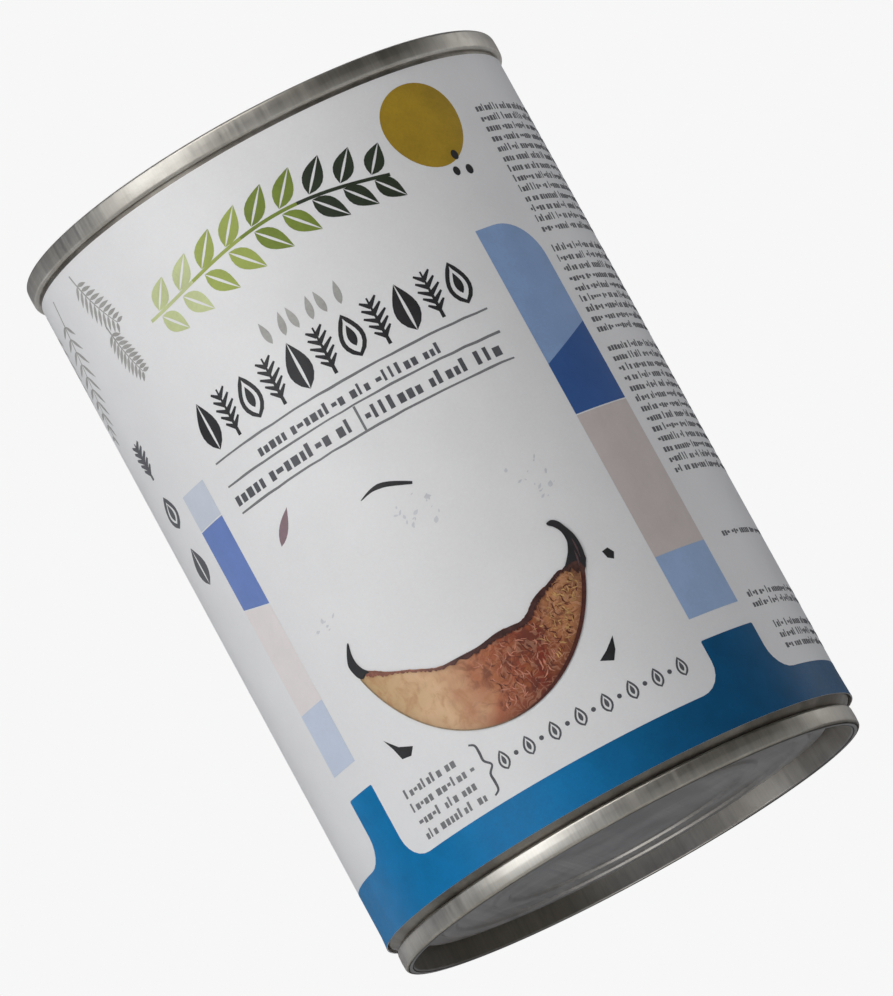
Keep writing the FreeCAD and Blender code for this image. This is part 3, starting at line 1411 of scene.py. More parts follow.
@dataclass
class LeafSprig(Print):
    """A leafy sprig across the top of the front, pale lime at its left and dark at its right."""

    left: float = -21.0 * MM
    right: float = 20.0 * MM
    stem_height: float = 94.6 * MM
    rise: float = 1.6 * MM
    stem_width: float = 0.5 * MM
    stem_steps: int = 8
    leaf_length: float = 7.0 * MM
    leaf_half_width: float = 1.45 * MM
    leaf_setback: Point = (0.5 * MM, 0.45 * MM)
    leaf_leans: Point = (52.0, -50.0)
    leaf_flattening: float = 0.92
    pairs: int = 9
    spans: tuple[tuple[int, int, Printed], ...] = (
        (0, 2, PALE_LIME),
        (2, 4, LIME),
        (4, 6, LEAF_GREEN),
        (6, 9, DARK_GREEN),
    )

    def stem(self, share: float) -> Point:
        """A place along the stem, from 0 at its left to 1 at its right."""
        across = self.left + (self.right - self.left) * share
        return across, self.stem_height + self.rise * math.sin(math.pi * (share * 1.5 - 0.4))

    def leaves(self, first: int, last: int) -> Callable[[FlatArt], None]:
        """What draws some of the leaf pairs.

        Args:
            first: The first pair, counted from the left.
            last: The pair after the last.

        Returns:
            A function that draws them with their stretch of stem.
        """

        def draw(art: FlatArt) -> None:
            """Draws the leaves, each as two blades beside its rib.

            Args:
                art: The flat art.
            """
            for pair in range(first, last):
                share = (pair + 0.35) / self.pairs
                root = self.stem(share)
                size = self.leaf_length * (0.80 + 0.20 * math.sin(math.pi * share))
                for way, degrees in zip((1, -1), self.leaf_leans):
                    lean = math.radians(degrees)
                    rise = size * math.sin(lean) * self.leaf_flattening
                    tip = (root[0] + size * math.cos(lean), root[1] + rise)
                    onward, outward = self.leaf_setback
                    start = (root[0] + onward, root[1] + outward * way)
                    for side in (1, -1):
                        art.fill(leaf(start, tip, self.leaf_half_width, side))
            steps = range(self.stem_steps + 1)
            spots = [first + (last - first) * step / self.stem_steps for step in steps]
            art.stroke([self.stem(spot / self.pairs) for spot in spots], self.stem_width)

        return draw

    def build(self) -> list[Piece]:
        """Prints the sprig in four inks.

        Returns:
            One piece for each ink.
        """
        return [
            self.printed(f"{finish.name}_leaves", finish, self.leaves(first, last))
            for first, last, finish in self.spans
        ]


FERN_LEVELS = (-0.62, -0.30, 0.02, 0.34, 0.64)


class Motif(Enum):
    """An ornament: a leaf split along its rib, a fern, or a pod with its seed."""

    BUD = 0
    FERN = 1
    POD = 2

    def draw(self, art: FlatArt, centre: Point, half_width: float, half_height: float) -> None:
        """Draws the ornament upright.

        Args:
            art: The flat art.
            centre: Its middle.
            half_width: Half its width.
            half_height: Half its height.
        """
        across, up = centre
        foot, head = (across, up - half_height), (across, up + half_height)
        if self is Motif.BUD:
            for side in (1, -1):
                art.fill(leaf(foot, head, half_width, side))
        elif self is Motif.FERN:
            art.stroke([foot, head], [0.30 * half_width, 0.14 * half_width])
            for level in FERN_LEVELS:
                reach = half_width * (0.95 - 0.40 * abs(level))
                for way in (1, -1):
                    joint = (across, up + half_height * (level + 0.02 * way))
                    tip = (across + way * reach, joint[1] + half_height * 0.30)
                    art.stroke([joint, tip], [0.40 * half_width, 0.16 * half_width])
        else:
            rim = 0.34 * half_width
            pod = leaf((across, foot[1] + rim), (across, head[1] - rim), half_width - rim / 2)
            art.stroke(pod, rim, closed=True)
            seed = half_height * 0.45
            art.fill(leaf((across, up - seed), (across, up + seed), rim))


@dataclass
class OrnamentRow(Print):
    """The frieze of dark ornaments, the small pale leaves above it and the ruled lines below."""

    low: float = 72.7 * MM
    high: float = 79.9 * MM
    ends: Point = (-23.2 * MM, 23.2 * MM)
    count: int = 11
    rules: tuple[float, ...] = (71.4 * MM, 67.7 * MM, 63.6 * MM)
    rule_widths: Point = (0.24, 0.40)
    rule_wobble: float = 0.05
    rule_steps: int = 24
    divider: tuple[float, float, float] = (-0.2 * MM, 63.8 * MM, 67.5 * MM)
    divider_width: float = 0.35 * MM
    small_leaves: int = 6
    small_leaf_start: float = -5.9
    small_leaf_pitch: float = 2.2
    small_leaf_heights: Point = (80.8 * MM, 84.3 * MM)
    small_leaf_half_width: float = 0.55 * MM
    seed: int = 5

    def draw_row(self, art: FlatArt) -> None:
        """Draws the frieze.

        Args:
            art: The flat art.
        """
        start, end = self.ends
        cell = (end - start) / self.count
        order = (Motif.BUD, Motif.FERN, Motif.POD, Motif.FERN)
        middle, half_height = (self.low + self.high) / 2, (self.high - self.low) / 2
        for i in range(self.count):
            centre = (start + cell * (i + 0.5), middle)
            order[i % len(order)].draw(art, centre, cell * 0.43, half_height)

    def draw_leaves(self, art: FlatArt) -> None:
        """Draws the small pale leaves above the frieze.

        Args:
            art: The flat art.
        """
        low, high = self.small_leaf_heights
        for i in range(self.small_leaves):
            across = (self.small_leaf_start + self.small_leaf_pitch * i) * MM
            lean = (0.5 if i % 2 else -0.5) * MM
            art.fill(leaf((across, low), (across + lean, high), self.small_leaf_half_width))

    def draw_rules(self, art: FlatArt) -> None:
        """Draws the hand-ruled lines and the short divider, not quite straight.

        Args:
            art: The flat art.
        """
        chance = random.Random(self.seed)
        start, end = self.ends
        for height in self.rules:
            steps = range(self.rule_steps + 1)
            spots = [start + (end - start) * step / self.rule_steps for step in steps]
            wobble = self.rule_wobble
            line = [(spot, height + chance.uniform(-wobble, wobble) * MM) for spot in spots]
            widths = [chance.uniform(*self.rule_widths) * MM for _ in range(self.rule_steps // 2)]
            art.stroke(line, widths)
        across, low, high = self.divider
        art.stroke([(across, low), (across, high)], self.divider_width)

    def build(self) -> list[Piece]:
        """Prints the frieze, the leaves and the rules.

        Returns:
            A piece for each of the three.
        """
        return [
            self.printed("ink_ornament_row", BLACK, self.draw_row),
            self.printed("ink_small_leaves", SOFT_GREY, self.draw_leaves),
            self.printed("ink_rules", MID_GREY, self.draw_rules),
        ]


@dataclass(frozen=True)
class Strands:
    """One scatter of short shell fibres: its ink, and which part of the shell it covers."""

    name: str
    colour: Colour
    low: float
    high: float
    count: int
    seed: int
    reach: Point = (0.5 * MM, 1.3 * MM)
    thick: Point = (0.10 * MM, 0.24 * MM)
    end_width: float = 0.03 * MM
    border: float = 1.1 * MM
    least_room: float = 0.6 * MM
    lean: float = 0.9
    spread: float = 0.6
    bow: float = 0.22

    def finish(self) -> Printed:
        """The scatter's patchy ink."""
        return Printed(f"ink_fibre_{self.name}", self.colour, patchy=0.35, patch_scale=900.0)


SHELL_TONES = (
    (0.06, Colour(198, 165, 122)),
    (0.27, Colour(218, 180, 140)),
    (0.46, Colour(178, 105, 72)),
    (0.68, Colour(126, 44, 31)),
    (0.82, Colour(186, 128, 86)),
    (0.98, Colour(124, 88, 66)),
)
TEAR = Printed(
    "ink_tear",
    Colour(140, 90, 74),
    Colour(70, 42, 38),
    ramp_span=(-13.0 * MM, -3.0 * MM),
    patchy=0.4,
    patch_scale=900.0,
)
RIM = Printed(
    "ink_rim",
    Colour(158, 136, 106),
    Colour(80, 42, 36),
    ramp_span=(-9.0 * MM, 3.0 * MM),
    patchy=0.3,
    patch_scale=900.0,
)


@dataclass
class CoconutHalf(Print):
    """The picture of an opened coconut: a brown shell under white flesh, and loose splinters.

    The outlines of its torn edge, horns, streaks, speckles and splinters are in millimetres.
    """

    centre: float = -0.5 * MM
    half_width: float = 18.8 * MM
    rim: float = 38.0 * MM
    depth: float = 19.0 * MM
    fullness: float = 0.62
    rim_widths: Point = (0.16, 0.44)
    edge_wobble: Point = (-0.10, 0.10)
    tear_wobble: Point = (-0.24, 0.14)
    streak_widths: tuple[float, ...] = (0.06 * MM, 0.26 * MM, 0.06 * MM)
    inner_edge: tuple[Point, ...] = (
        (18.1, 36.6), (17.0, 36.4), (16.0, 35.2), (15.0, 34.3), (14.4, 33.9), (13.6, 34.1),
        (12.6, 33.7), (11.0, 33.0), (9.6, 32.6), (8.4, 32.0), (7.2, 31.0), (5.8, 30.3),
        (4.0, 30.4), (2.0, 30.5), (-1.0, 30.1), (-4.0, 30.2), (-7.0, 30.4), (-9.0, 31.2),
        (-11.6, 32.5), (-13.0, 33.1), (-14.6, 33.9), (-16.0, 34.8), (-17.3, 35.5),
        (-18.3, 36.4), (-19.2, 37.2),
    )
    tear_foot: tuple[Point, ...] = (
        (14.4, 33.7), (13.8, 33.7), (12.8, 33.3), (11.2, 32.5), (9.6, 31.8), (8.4, 31.0),
        (7.4, 30.1), (6.0, 29.6), (4.2, 29.7), (2.0, 29.7), (-1.0, 29.5), (-4.0, 29.7),
        (-7.0, 30.0), (-9.2, 30.9), (-11.4, 32.1), (-13.2, 32.8), (-14.8, 33.4),
        (-16.2, 34.1), (-17.6, 34.8),
    )
    horns: tuple[tuple[Point, ...], ...] = (
        (
            (-17.7, 40.1), (-18.6, 39.0), (-19.4, 37.5), (-19.3, 36.3), (-18.9, 35.3),
            (-18.3, 34.8), (-17.6, 35.1), (-16.8, 35.1), (-17.6, 36.0), (-18.1, 37.2),
            (-18.1, 38.6),
        ),
        (
            (15.4, 40.7), (16.2, 40.8), (17.0, 40.2), (17.6, 39.0), (18.1, 37.7), (18.25, 36.2),
            (18.1, 34.8), (17.7, 33.6), (17.2, 32.8), (16.9, 34.0), (16.2, 34.3), (15.3, 34.2),
            (14.5, 33.9), (15.3, 34.8), (16.1, 35.8), (16.7, 37.0), (16.8, 38.0), (16.6, 39.0),
            (16.0, 39.9), (15.5, 40.3),
        ),
    )
    horn_root: tuple[Point, ...] = (
        (14.2, 34.0), (15.0, 33.2), (15.5, 33.7), (16.0, 32.5), (16.4, 33.1), (16.4, 31.9),
        (16.8, 32.3), (17.3, 32.9), (18.0, 34.0), (18.2, 36.0), (17.4, 36.4), (16.2, 35.5),
        (15.0, 34.4),
    )
    worn_streaks: tuple[tuple[Point, ...], ...] = (
        ((17.5, 37.3), (17.5, 35.9), (17.3, 34.4)),
        ((17.0, 35.6), (16.9, 34.6), (16.6, 33.4)),
    )
    speckle_groups: tuple[tuple[float, float, float, int], ...] = (
        (1.0, 50.5, 3.2, 18),
        (16.5, 46.5, 4.2, 16),
        (-20.0, 44.0, 1.6, 6),
    )
    thin_arc: tuple[Point, ...] = ((-5.6, 55.7), (-3.5, 56.2), (-1.4, 55.9), (1.9, 54.3))
    arc_widths: tuple[float, ...] = (0.10 * MM, 0.40 * MM, 0.75 * MM, 0.70 * MM, 0.40 * MM)
    splinters: tuple[tuple[Point, ...], ...] = (
        ((20.6, 33.9), (21.6, 34.1), (22.2, 33.2), (21.7, 32.3), (20.9, 32.8)),
        ((16.0, 22.8), (15.4, 20.9), (14.5, 19.6), (12.7, 20.4), (14.2, 21.3)),
        ((-20.4, 26.1), (-18.6, 24.2), (-16.4, 23.2), (-17.4, 22.2), (-19.0, 22.5), (-19.6, 24.4)),
    )
    scatters: tuple[Strands, ...] = (
        Strands("brown", Colour(100, 52, 40), -0.05, 0.88, 120, 22),
        Strands("pink", Colour(192, 128, 104), -0.12, 0.52, 60, 24, (0.7 * MM, 1.7 * MM)),
        Strands("gold", Colour(196, 152, 98), 0.42, 0.90, 60, 23),
    )
    seed: int = 11

    def edge(self, share: float, inset: float = 0.0) -> Point:
        """A place on the shell's round lower edge.

        Args:
            share: From -1 at the left rim to 1 at the right.
            inset: How far inside the edge.

        Returns:
            The place.
        """
        half, deep = self.half_width - inset, self.depth - inset
        fall = max(0.0, 1 - share * share) ** self.fullness
        return self.centre + half * share, self.rim - deep * fall

    def inner(self) -> list[Point]:
        """The torn inner edge, from the right horn to the left, slightly ragged.

        Returns:
            The edge's points.
        """
        chance = random.Random(self.seed)
        curve = smoothed(metres(self.inner_edge), steps=5)
        return [(a, u + chance.uniform(*self.edge_wobble) * MM) for a, u in curve]

    def outer(self) -> list[Point]:
        """The round lower edge, from the left horn to the right."""
        shares = [math.sin(math.pi / 2 * step / 24) for step in range(-23, 24)]
        return [self.edge(share) for share in shares]

    def draw_shell(self, art: FlatArt) -> None:
        """Draws the shell."""
        art.fill([*self.outer(), *self.inner()[1:-1]])

    def draw_torn_edge(self, art: FlatArt) -> None:
        """Draws the torn skin under the inner edge, ragged along its foot.

        Args:
            art: The flat art.
        """
        chance = random.Random(self.seed + 1)
        head = smoothed(metres(self.inner_edge[4:-2]), steps=5)
        foot = smoothed(metres(self.tear_foot), steps=9)
        ragged = [(a, u + chance.uniform(*self.tear_wobble) * MM) for a, u in foot[1:-1]]
        art.fill([*head, foot[-1], *reversed(ragged), foot[0]])

    def draw_rim(self, art: FlatArt) -> None:
        """Draws the line round the lower edge, thin at its left and thick at its right.

        Args:
            art: The flat art.
        """
        shares = [math.sin(math.pi / 2 * step / 40) for step in range(-34, 36)]
        thin, added = self.rim_widths
        steepness, middle = -9.0, 0.25
        swells = [added / (1 + math.exp(steepness * (share - middle))) for share in shares]
        widths = [(thin + swell) * MM for swell in swells]
        inside = [self.edge(share, width) for share, width in zip(shares, widths)]
        art.fill([*(self.edge(share) for share in shares), *reversed(inside)])

    def draw_horns(self, art: FlatArt) -> None:
        """Draws the two dark horns that end the shell."""
        for horn in self.horns:
            art.fill(smoothed(metres(horn), steps=4, closed=True))

    def draw_horn_root(self, art: FlatArt) -> None:
        """Draws the ragged brown skin below the right horn."""
        art.fill(metres(self.horn_root))

    def draw_sheen(self, art: FlatArt) -> None:
        """Draws the worn streaks on the right horn."""
        for streak in self.worn_streaks:
            art.stroke(smoothed(metres(streak), steps=4), self.streak_widths)

    def fibres(self, strands: Strands) -> Callable[[FlatArt], None]:
        """What draws one scatter of short shell fibres.

        Args:
            strands: The scatter.

        Returns:
            A function that draws it.
        """

        def draw(art: FlatArt) -> None:
            """Draws the fibres as short tapered strokes that follow the shell's curve.

            Args:
                art: The flat art.
            """
            chance = random.Random(strands.seed)
            edge = self.inner()
            for _ in range(strands.count):
                share = chance.uniform(strands.low, strands.high)
                across, lower = self.edge(share, strands.border)
                nearest = min(edge, key=lambda spot: abs(spot[0] - across))
                upper = nearest[1] - strands.border
                if upper <= lower + strands.least_room:
                    continue
                up = chance.uniform(lower, upper)
                turn = share * strands.lean + math.pi / 2 + chance.gauss(0.0, strands.spread)
                reach = chance.uniform(*strands.reach)
                tip = (across + reach * math.cos(turn), up + reach * math.sin(turn))
                bow = chance.uniform(-strands.bow, strands.bow) * reach
                middle = ((across + tip[0]) / 2, (up + tip[1]) / 2)
                bend = (middle[0] - bow * math.sin(turn), middle[1] + bow * math.cos(turn))
                if tip[1] > upper or tip[1] < lower:
                    continue
                thick = chance.uniform(*strands.thick)
                hair = smoothed([(across, up), bend, tip], steps=3)
                art.stroke(hair, [strands.end_width, thick, strands.end_width])

        return draw

    def draw_speckles(self, art: FlatArt) -> None:
        """Draws the faint speckles on the flesh, in three loose groups.

        Args:
            art: The flat art.
        """
        chance = random.Random(self.seed + 2)
        for across, up, spread, count in self.speckle_groups:
            for _ in range(count):
                aside = chance.gauss(0, spread / 2)
                spot = ((across + aside) * MM, (up + chance.gauss(0, spread / 2)) * MM)
                turn = chance.gauss(0.6, 0.5)
                long = chance.uniform(0.3, 1.1) * MM
                tip = (spot[0] + long * math.cos(turn), spot[1] + long * math.sin(turn))
                art.fill(leaf(spot, tip, long * chance.uniform(0.15, 0.35), steps=5))

    def draw_splinters(self, art: FlatArt) -> None:
        """Draws the loose dark splinters and the thin dark arc above the flesh.

        Args:
            art: The flat art.
        """
        art.stroke(smoothed(metres(self.thin_arc)), self.arc_widths)
        for outline in self.splinters:
            art.fill(metres(outline))

    def draw_plum(self, art: FlatArt) -> None:
        """Draws the loose flake of plum-coloured skin."""
        art.fill(leaf((-19.8 * MM, 56.5 * MM), (-15.9 * MM, 60.6 * MM), 0.75 * MM))

    def build(self) -> list[Piece]:
        """Prints the coconut.

        Returns:
            The coconut's pieces, from the shell outwards.
        """
        skin = ShellPrint(
            name="coconut_shell",
            centre=(self.centre, self.rim),
            half_width=self.half_width,
            depth=self.depth,
            fullness=self.fullness,
            tones=SHELL_TONES,
            fibre=Colour(236, 190, 156),
            stain=Colour(172, 112, 66),
            shadow=Colour(96, 46, 36),
        )
        fibres = [
            self.printed(
                f"ink_{strands.name}_fibres", strands.finish(), self.fibres(strands), layer
            )
            for layer, strands in enumerate(self.scatters, start=2)
        ]
        return [
            self.printed("ink_coconut_shell", skin, self.draw_shell),
            *fibres,
            self.printed("ink_shell_rim", RIM, self.draw_rim, layer=6),
            self.printed("ink_torn_edge", TEAR, self.draw_torn_edge, layer=6),
            self.printed("ink_horn_root", UMBER, self.draw_horn_root, layer=7),
            self.printed("ink_horns", BLACK, self.draw_horns, layer=8),
            self.printed("ink_horn_sheen", SHEEN_BROWN, self.draw_sheen, layer=9),
            self.printed("ink_speckles", FAINT_GREY, self.draw_speckles),
            self.printed("ink_splinters", BLACK, self.draw_splinters),
            self.printed("ink_plum_flake", PLUM, self.draw_plum),
        ]


MARKS = ((1.0, 0.0), (0.70, 0.0), (0.70, 0.0), (0.62, 0.0), (0.34, 0.24))


@dataclass(frozen=True)
class TypeBlock:
    """A block of small print, drawn as rows of plain marks that stand for letters."""

    left: float
    right: float
    top: float
    pitch: float
    rows: int
    size: float
    ragged: float = 0.0
    weight: float = 0.5
    mark_gap: float = 0.20
    word_gap: float = 0.45

    def draw(self, art: FlatArt, chance: random.Random) -> None:
        """Draws the block.

        Args:
            art: The flat art.
            chance: The random draws.
        """
        for row in range(self.rows):
            base = self.top - self.size - row * self.pitch
            across = self.left
            end = self.right - chance.uniform(0.0, self.ragged)
            while across < end:
                for _ in range(chance.randint(2, 8)):
                    wide = self.size * chance.uniform(0.34, 0.60)
                    if across + wide > end:
                        break
                    self.mark(art, across, base, wide, chance)
                    across += wide + self.size * self.mark_gap
                across += self.size * self.word_gap

    def mark(
        self, art: FlatArt, across: float, base: float, wide: float, chance: random.Random
    ) -> None:
        """Draws one plain mark: a tall bar, a low block or a dash.

        Args:
            art: The flat art.
            across: Its left edge.
            base: Its foot.
            wide: Its width.
            chance: The random draws.
        """
        tall, low = chance.choice(MARKS)
        if tall == 1.0:
            wide *= self.weight
        art.block(across, across + wide, base + self.size * low, base + self.size * (low + tall))


# A block of small print: left, right, top, pitch, rows, size, ragged and weight, with the
# lengths in millimetres.
BlockSizes = tuple[float, float, float, float, int, float, float, float]


@dataclass
class SmallPrint(Print):
    """All of the label's small print, as plain marks, and the bracket beside the volume."""

    upper_row: tuple[BlockSizes, ...] = ((-15.6, 14.7, 70.1, 2.0, 1, 1.65, 0.0, 0.55),)
    lower_row: tuple[BlockSizes, ...] = (
        (-23.1, -1.4, 66.6, 2.0, 1, 2.0, 0.0, 0.62),
        (0.6, 23.1, 66.6, 2.0, 1, 2.0, 0.0, 0.62),
    )
    volume_words: tuple[BlockSizes, ...] = ((-21.7, -9.4, 18.9, 2.1, 4, 1.35, 2.5, 0.5),)
    right_panel: tuple[BlockSizes, ...] = (
        (39.7, 80.0, 99.6, 1.62, 13, 1.1, 6.0, 0.5),
        (39.7, 80.0, 77.0, 1.62, 9, 1.1, 9.0, 0.5),
        (39.7, 80.0, 61.0, 1.62, 13, 1.1, 5.0, 0.5),
        (42.5, 62.0, 31.0, 1.62, 1, 1.1, 2.0, 0.5),
        (40.5, 74.0, 21.6, 1.62, 2, 1.1, 8.0, 0.5),
        (43.0, 70.0, 16.4, 1.62, 3, 1.1, 8.0, 0.5),
    )
    seed_row: tuple[float, float, float] = (-5.4 * MM, 22.8 * MM, 14.9 * MM)
    seed_count: int = 15
    seed_radius: float = 0.34 * MM
    pod_size: Point = (0.85 * MM, 1.6 * MM)
    column: float = -39.0 * MM
    column_motifs: tuple[tuple[float, Motif], ...] = (
        (79.0 * MM, Motif.FERN),
        (70.8 * MM, Motif.POD),
        (62.2 * MM, Motif.BUD),
    )
    column_size: Point = (2.2 * MM, 2.9 * MM)
    half_bracket: tuple[Point, ...] = (
        (-8.9, 19.1), (-8.1, 18.6), (-8.0, 17.4), (-8.0, 16.2), (-7.2, 15.2),
    )
    bracket_widths: tuple[float, ...] = (0.25 * MM, 0.40 * MM, 0.30 * MM, 0.40 * MM, 0.25 * MM)
    seed: int = 3

    def type_film(self, name: str, finish: Printed, blocks: Sequence[BlockSizes]) -> Piece:
        """Prints blocks of small print in one ink.

        Args:
            name: The piece's name.
            finish: Its ink.
            blocks: The blocks' sizes.

        Returns:
            The piece.
        """
        chance = random.Random(self.seed + len(name))

        def draw(art: FlatArt) -> None:
            """Draws the blocks.

            Args:
                art: The flat art.
            """
            for left, right, top, pitch, rows, size, ragged, weight in blocks:
                lengths = (value * MM for value in (left, right, top, pitch))
                TypeBlock(*lengths, rows, size * MM, ragged * MM, weight).draw(art, chance)

        return self.printed(name, finish, draw)

    def draw_seed_row(self, art: FlatArt) -> None:
        """Draws the row of seeds beside the bracket, large and small by turns.

        Args:
            art: The flat art.
        """
        start, end, middle = self.seed_row
        for i in range(self.seed_count):
            centre = (start + (end - start) * i / (self.seed_count - 1), middle)
            if i % 2:
                art.fill(ellipse(centre, self.seed_radius, self.seed_radius, steps=12))
            else:
                Motif.POD.draw(art, centre, *self.pod_size)

    def draw_column(self, art: FlatArt) -> None:
        """Draws the column of ornaments on the left panel."""
        for up, motif in self.column_motifs:
            motif.draw(art, (self.column, up), *self.column_size)

    def draw_bracket(self, art: FlatArt) -> None:
        """Draws the curly bracket, its lower half the upper one turned over.

        Args:
            art: The flat art.
        """
        twice_tip = 2 * self.half_bracket[-1][1]
        upper = list(self.half_bracket)
        lower = [(across, twice_tip - up) for across, up in reversed(upper)][1:]
        art.stroke(smoothed(metres(upper + lower), steps=5), self.bracket_widths)

    def build(self) -> list[Piece]:
        """Prints the small print.

        Returns:
            The small print's pieces.
        """
        return [
            self.type_film("ink_row_upper", DARK_GREY, self.upper_row),
            self.type_film("ink_row_lower", DARK_GREY, self.lower_row),
            self.type_film("ink_volume_words", MID_GREY, self.volume_words),
            self.printed("ink_seed_row", DARK_GREY, self.draw_seed_row),
            self.printed("ink_bracket", DARK_GREY, self.draw_bracket),
            self.type_film("ink_right_panel_words", DARK_GREY, self.right_panel),
            self.printed("ink_left_column", DARK_GREY, self.draw_column),
        ]


@dataclass
class FrondArt(Print):
    """Pale line drawings of palm fronds on the left panel.

    Each frond gives its root, in millimetres, which way it points, in degrees, and its length.
    """

    fronds: tuple[tuple[float, float, float, float], ...] = (
        (-40.5, 105.5, -98.0, 21.0),
        (-32.0, 106.0, -74.0, 11.0),
        (-29.8, 97.0, -84.0, 9.0),
        (-50.5, 106.0, -95.0, 18.0),
        (-60.5, 105.0, -100.0, 21.0),
        (-69.5, 106.0, -96.0, 15.0),
        (-78.5, 105.5, -94.0, 20.0),
    )
    leaflets: int = 11
    leaflet_share: float = 0.15
    least_leaflet: float = 1.2 * MM
    leaflet_lean: float = 1.05
    leaflet_half_width: float = 0.30 * MM
    droop: float = 0.35
    top_margin: float = 0.4 * MM

    def draw(self, art: FlatArt) -> None:
        """Draws each frond as a bent rib with leaflets on both sides."""
        for across, up, degrees, length in self.fronds:
            self.frond(art, (across * MM, up * MM), math.radians(degrees), length * MM)

    def frond(self, art: FlatArt, root: Point, lean: float, length: float) -> None:
        """Draws one frond.

        Args:
            art: The flat art.
            root: Where its rib starts.
            lean: Which way it points, anticlockwise from straight across.
            length: Its rib's length.
        """
        droop = self.droop if math.cos(lean) > 0 else -self.droop
        stride = length / self.leaflets
        rib: list[Point] = [root]
        for step in range(1, self.leaflets + 1):
            turn = lean + droop * step / self.leaflets
            last = rib[-1]
            rib.append((last[0] + stride * math.cos(turn), last[1] + stride * math.sin(turn)))
        art.stroke(rib, [0.28 * MM, 0.12 * MM])
        for step in range(2, self.leaflets + 1):
            turn = lean + droop * step / self.leaflets
            swell = math.sin(math.pi * (step + 1) / (self.leaflets + 2))
            reach = length * self.leaflet_share * swell + self.least_leaflet
            for way in (1, -1):
                side = turn + way * self.leaflet_lean
                start, tip = (
                    (rib[step][0] + out * math.cos(side), rib[step][1] + out * math.sin(side))
                    for out in (0.05 * MM, reach)
                )
                if tip[1] < self.sheet.head - self.top_margin:
                    art.fill(leaf(start, tip, self.leaflet_half_width, steps=5))

    def build(self) -> list[Piece]:
        """Prints the fronds."""
        return [self.printed("ink_fronds", SOFT_GREY, self.draw)]


@dataclass
class BackPanel(Print):
    """The back: a ruled table, a strip of bars and small print."""

    left: float = 97.0 * MM
    right: float = 121.0 * MM
    top: float = 98.0 * MM
    row: float = 4.2 * MM
    rows: int = 11
    divider: float = 15.0 * MM
    rule: float = 0.22 * MM
    heavy_rule: float = 0.5 * MM
    bars_start: float = 3.0 * MM
    bars_width: float = 11.5 * MM
    bars_heights: Point = (30.0 * MM, 52.0 * MM)
    bar_widths: tuple[float, ...] = (0.25, 0.25, 0.5, 0.75)
    bar_gaps: tuple[float, ...] = (0.25, 0.3, 0.55)
    seed: int = 17

    def draw_table(self, art: FlatArt) -> None:
        """Draws the table's rules.

        Args:
            art: The flat art.
        """
        for number in range(self.rows + 1):
            up = self.top - number * self.row
            thick = self.heavy_rule if number in (0, 1, self.rows) else self.rule
            art.stroke([(self.left, up), (self.right, up)], thick)
        foot = self.top - self.row * self.rows
        for across in (self.left, self.left + self.divider, self.right):
            art.stroke([(across, self.top), (across, foot)], self.rule)

    def draw_bars(self, art: FlatArt) -> None:
        """Draws the strip of bars, each a random width.

        Args:
            art: The flat art.
        """
        chance = random.Random(self.seed)
        across = self.sheet.visible[0] + self.bars_start
        end = across + self.bars_width
        while across < end:
            wide = chance.choice(self.bar_widths) * MM
            art.block(across, across + wide, *self.bars_heights)
            across += wide + chance.choice(self.bar_gaps) * MM

    def draw_words(self, art: FlatArt) -> None:
        """Draws the table's entries and the small print below it.

        Args:
            art: The flat art.
        """
        chance = random.Random(self.seed + 1)
        left, right, start = self.left, self.right, self.sheet.visible[0] + 2.5 * MM
        blocks: list[TypeBlock] = []
        for number in range(self.rows):
            top = self.top - number * self.row - 1.3 * MM
            blocks += [
                TypeBlock(left + MM, left + 13.5 * MM, top, MM, 1, 1.5 * MM, 5.0 * MM),
                TypeBlock(left + 16.5 * MM, right - MM, top, MM, 1, 1.5 * MM, 2.0 * MM),
            ]
        blocks += [
            TypeBlock(left, right - MM, 46.0 * MM, 1.8 * MM, 14, 1.15 * MM, 6.0 * MM),
            TypeBlock(start, -94.0 * MM, 96.0 * MM, 1.8 * MM, 20, 1.15 * MM, 3.0 * MM),
            TypeBlock(-83.0 * MM, -56.0 * MM, 62.0 * MM, 2.0 * MM, 16, 1.25 * MM, 7.0 * MM),
        ]
        for text in blocks:
            text.draw(art, chance)

    def build(self) -> list[Piece]:
        """Prints the back.

        Returns:
            A piece for the table, for the bars and for the words.
        """
        return [
            self.printed("ink_back_table", DARK_GREY, self.draw_table),
            self.printed("ink_back_bars", BLACK, self.draw_bars),
            self.printed("ink_back_words", DARK_GREY, self.draw_words),
        ]


# ---------------------------------------------------------------- studio


@dataclass(frozen=True)
class Softbox:
    """A soft rectangular light that faces the can."""

    name: str
    azimuth: float
    elevation: float
    distance: float
    width: float
    height: float
    watts: float
    colour: Colour = Colour(255, 255, 255)

    def build(self, target: Vector) -> None:
        """Adds the light.

        Args:
            target: Where it points.
        """
        light = bpy.data.lights.new(self.name, "AREA")
        light.shape = "RECTANGLE"
        light.size, light.size_y = self.width, self.height
        light.energy = self.watts
        light.color = self.colour.linear()[:3]
        lamp = bpy.data.objects.new(self.name, light)
        away = bearing(self.azimuth, self.elevation)
        lamp.visible_camera = False
        lamp.location = target + away * self.distance
        lamp.rotation_euler = away.to_track_quat("Z", "Y").to_euler()
        bpy.context.scene.collection.objects.link(lamp)


def bearing(azimuth: float, elevation: float) -> Vector:
    """The direction from the can to a place round it.

    Args:
        azimuth: Degrees from the front towards +X.
        elevation: Degrees above level.

    Returns:
        A unit vector.
    """
    turn, rise = math.radians(azimuth), math.radians(elevation)
    level = math.cos(rise)
    return Vector((math.sin(turn) * level, -math.cos(turn) * level, math.sin(rise)))


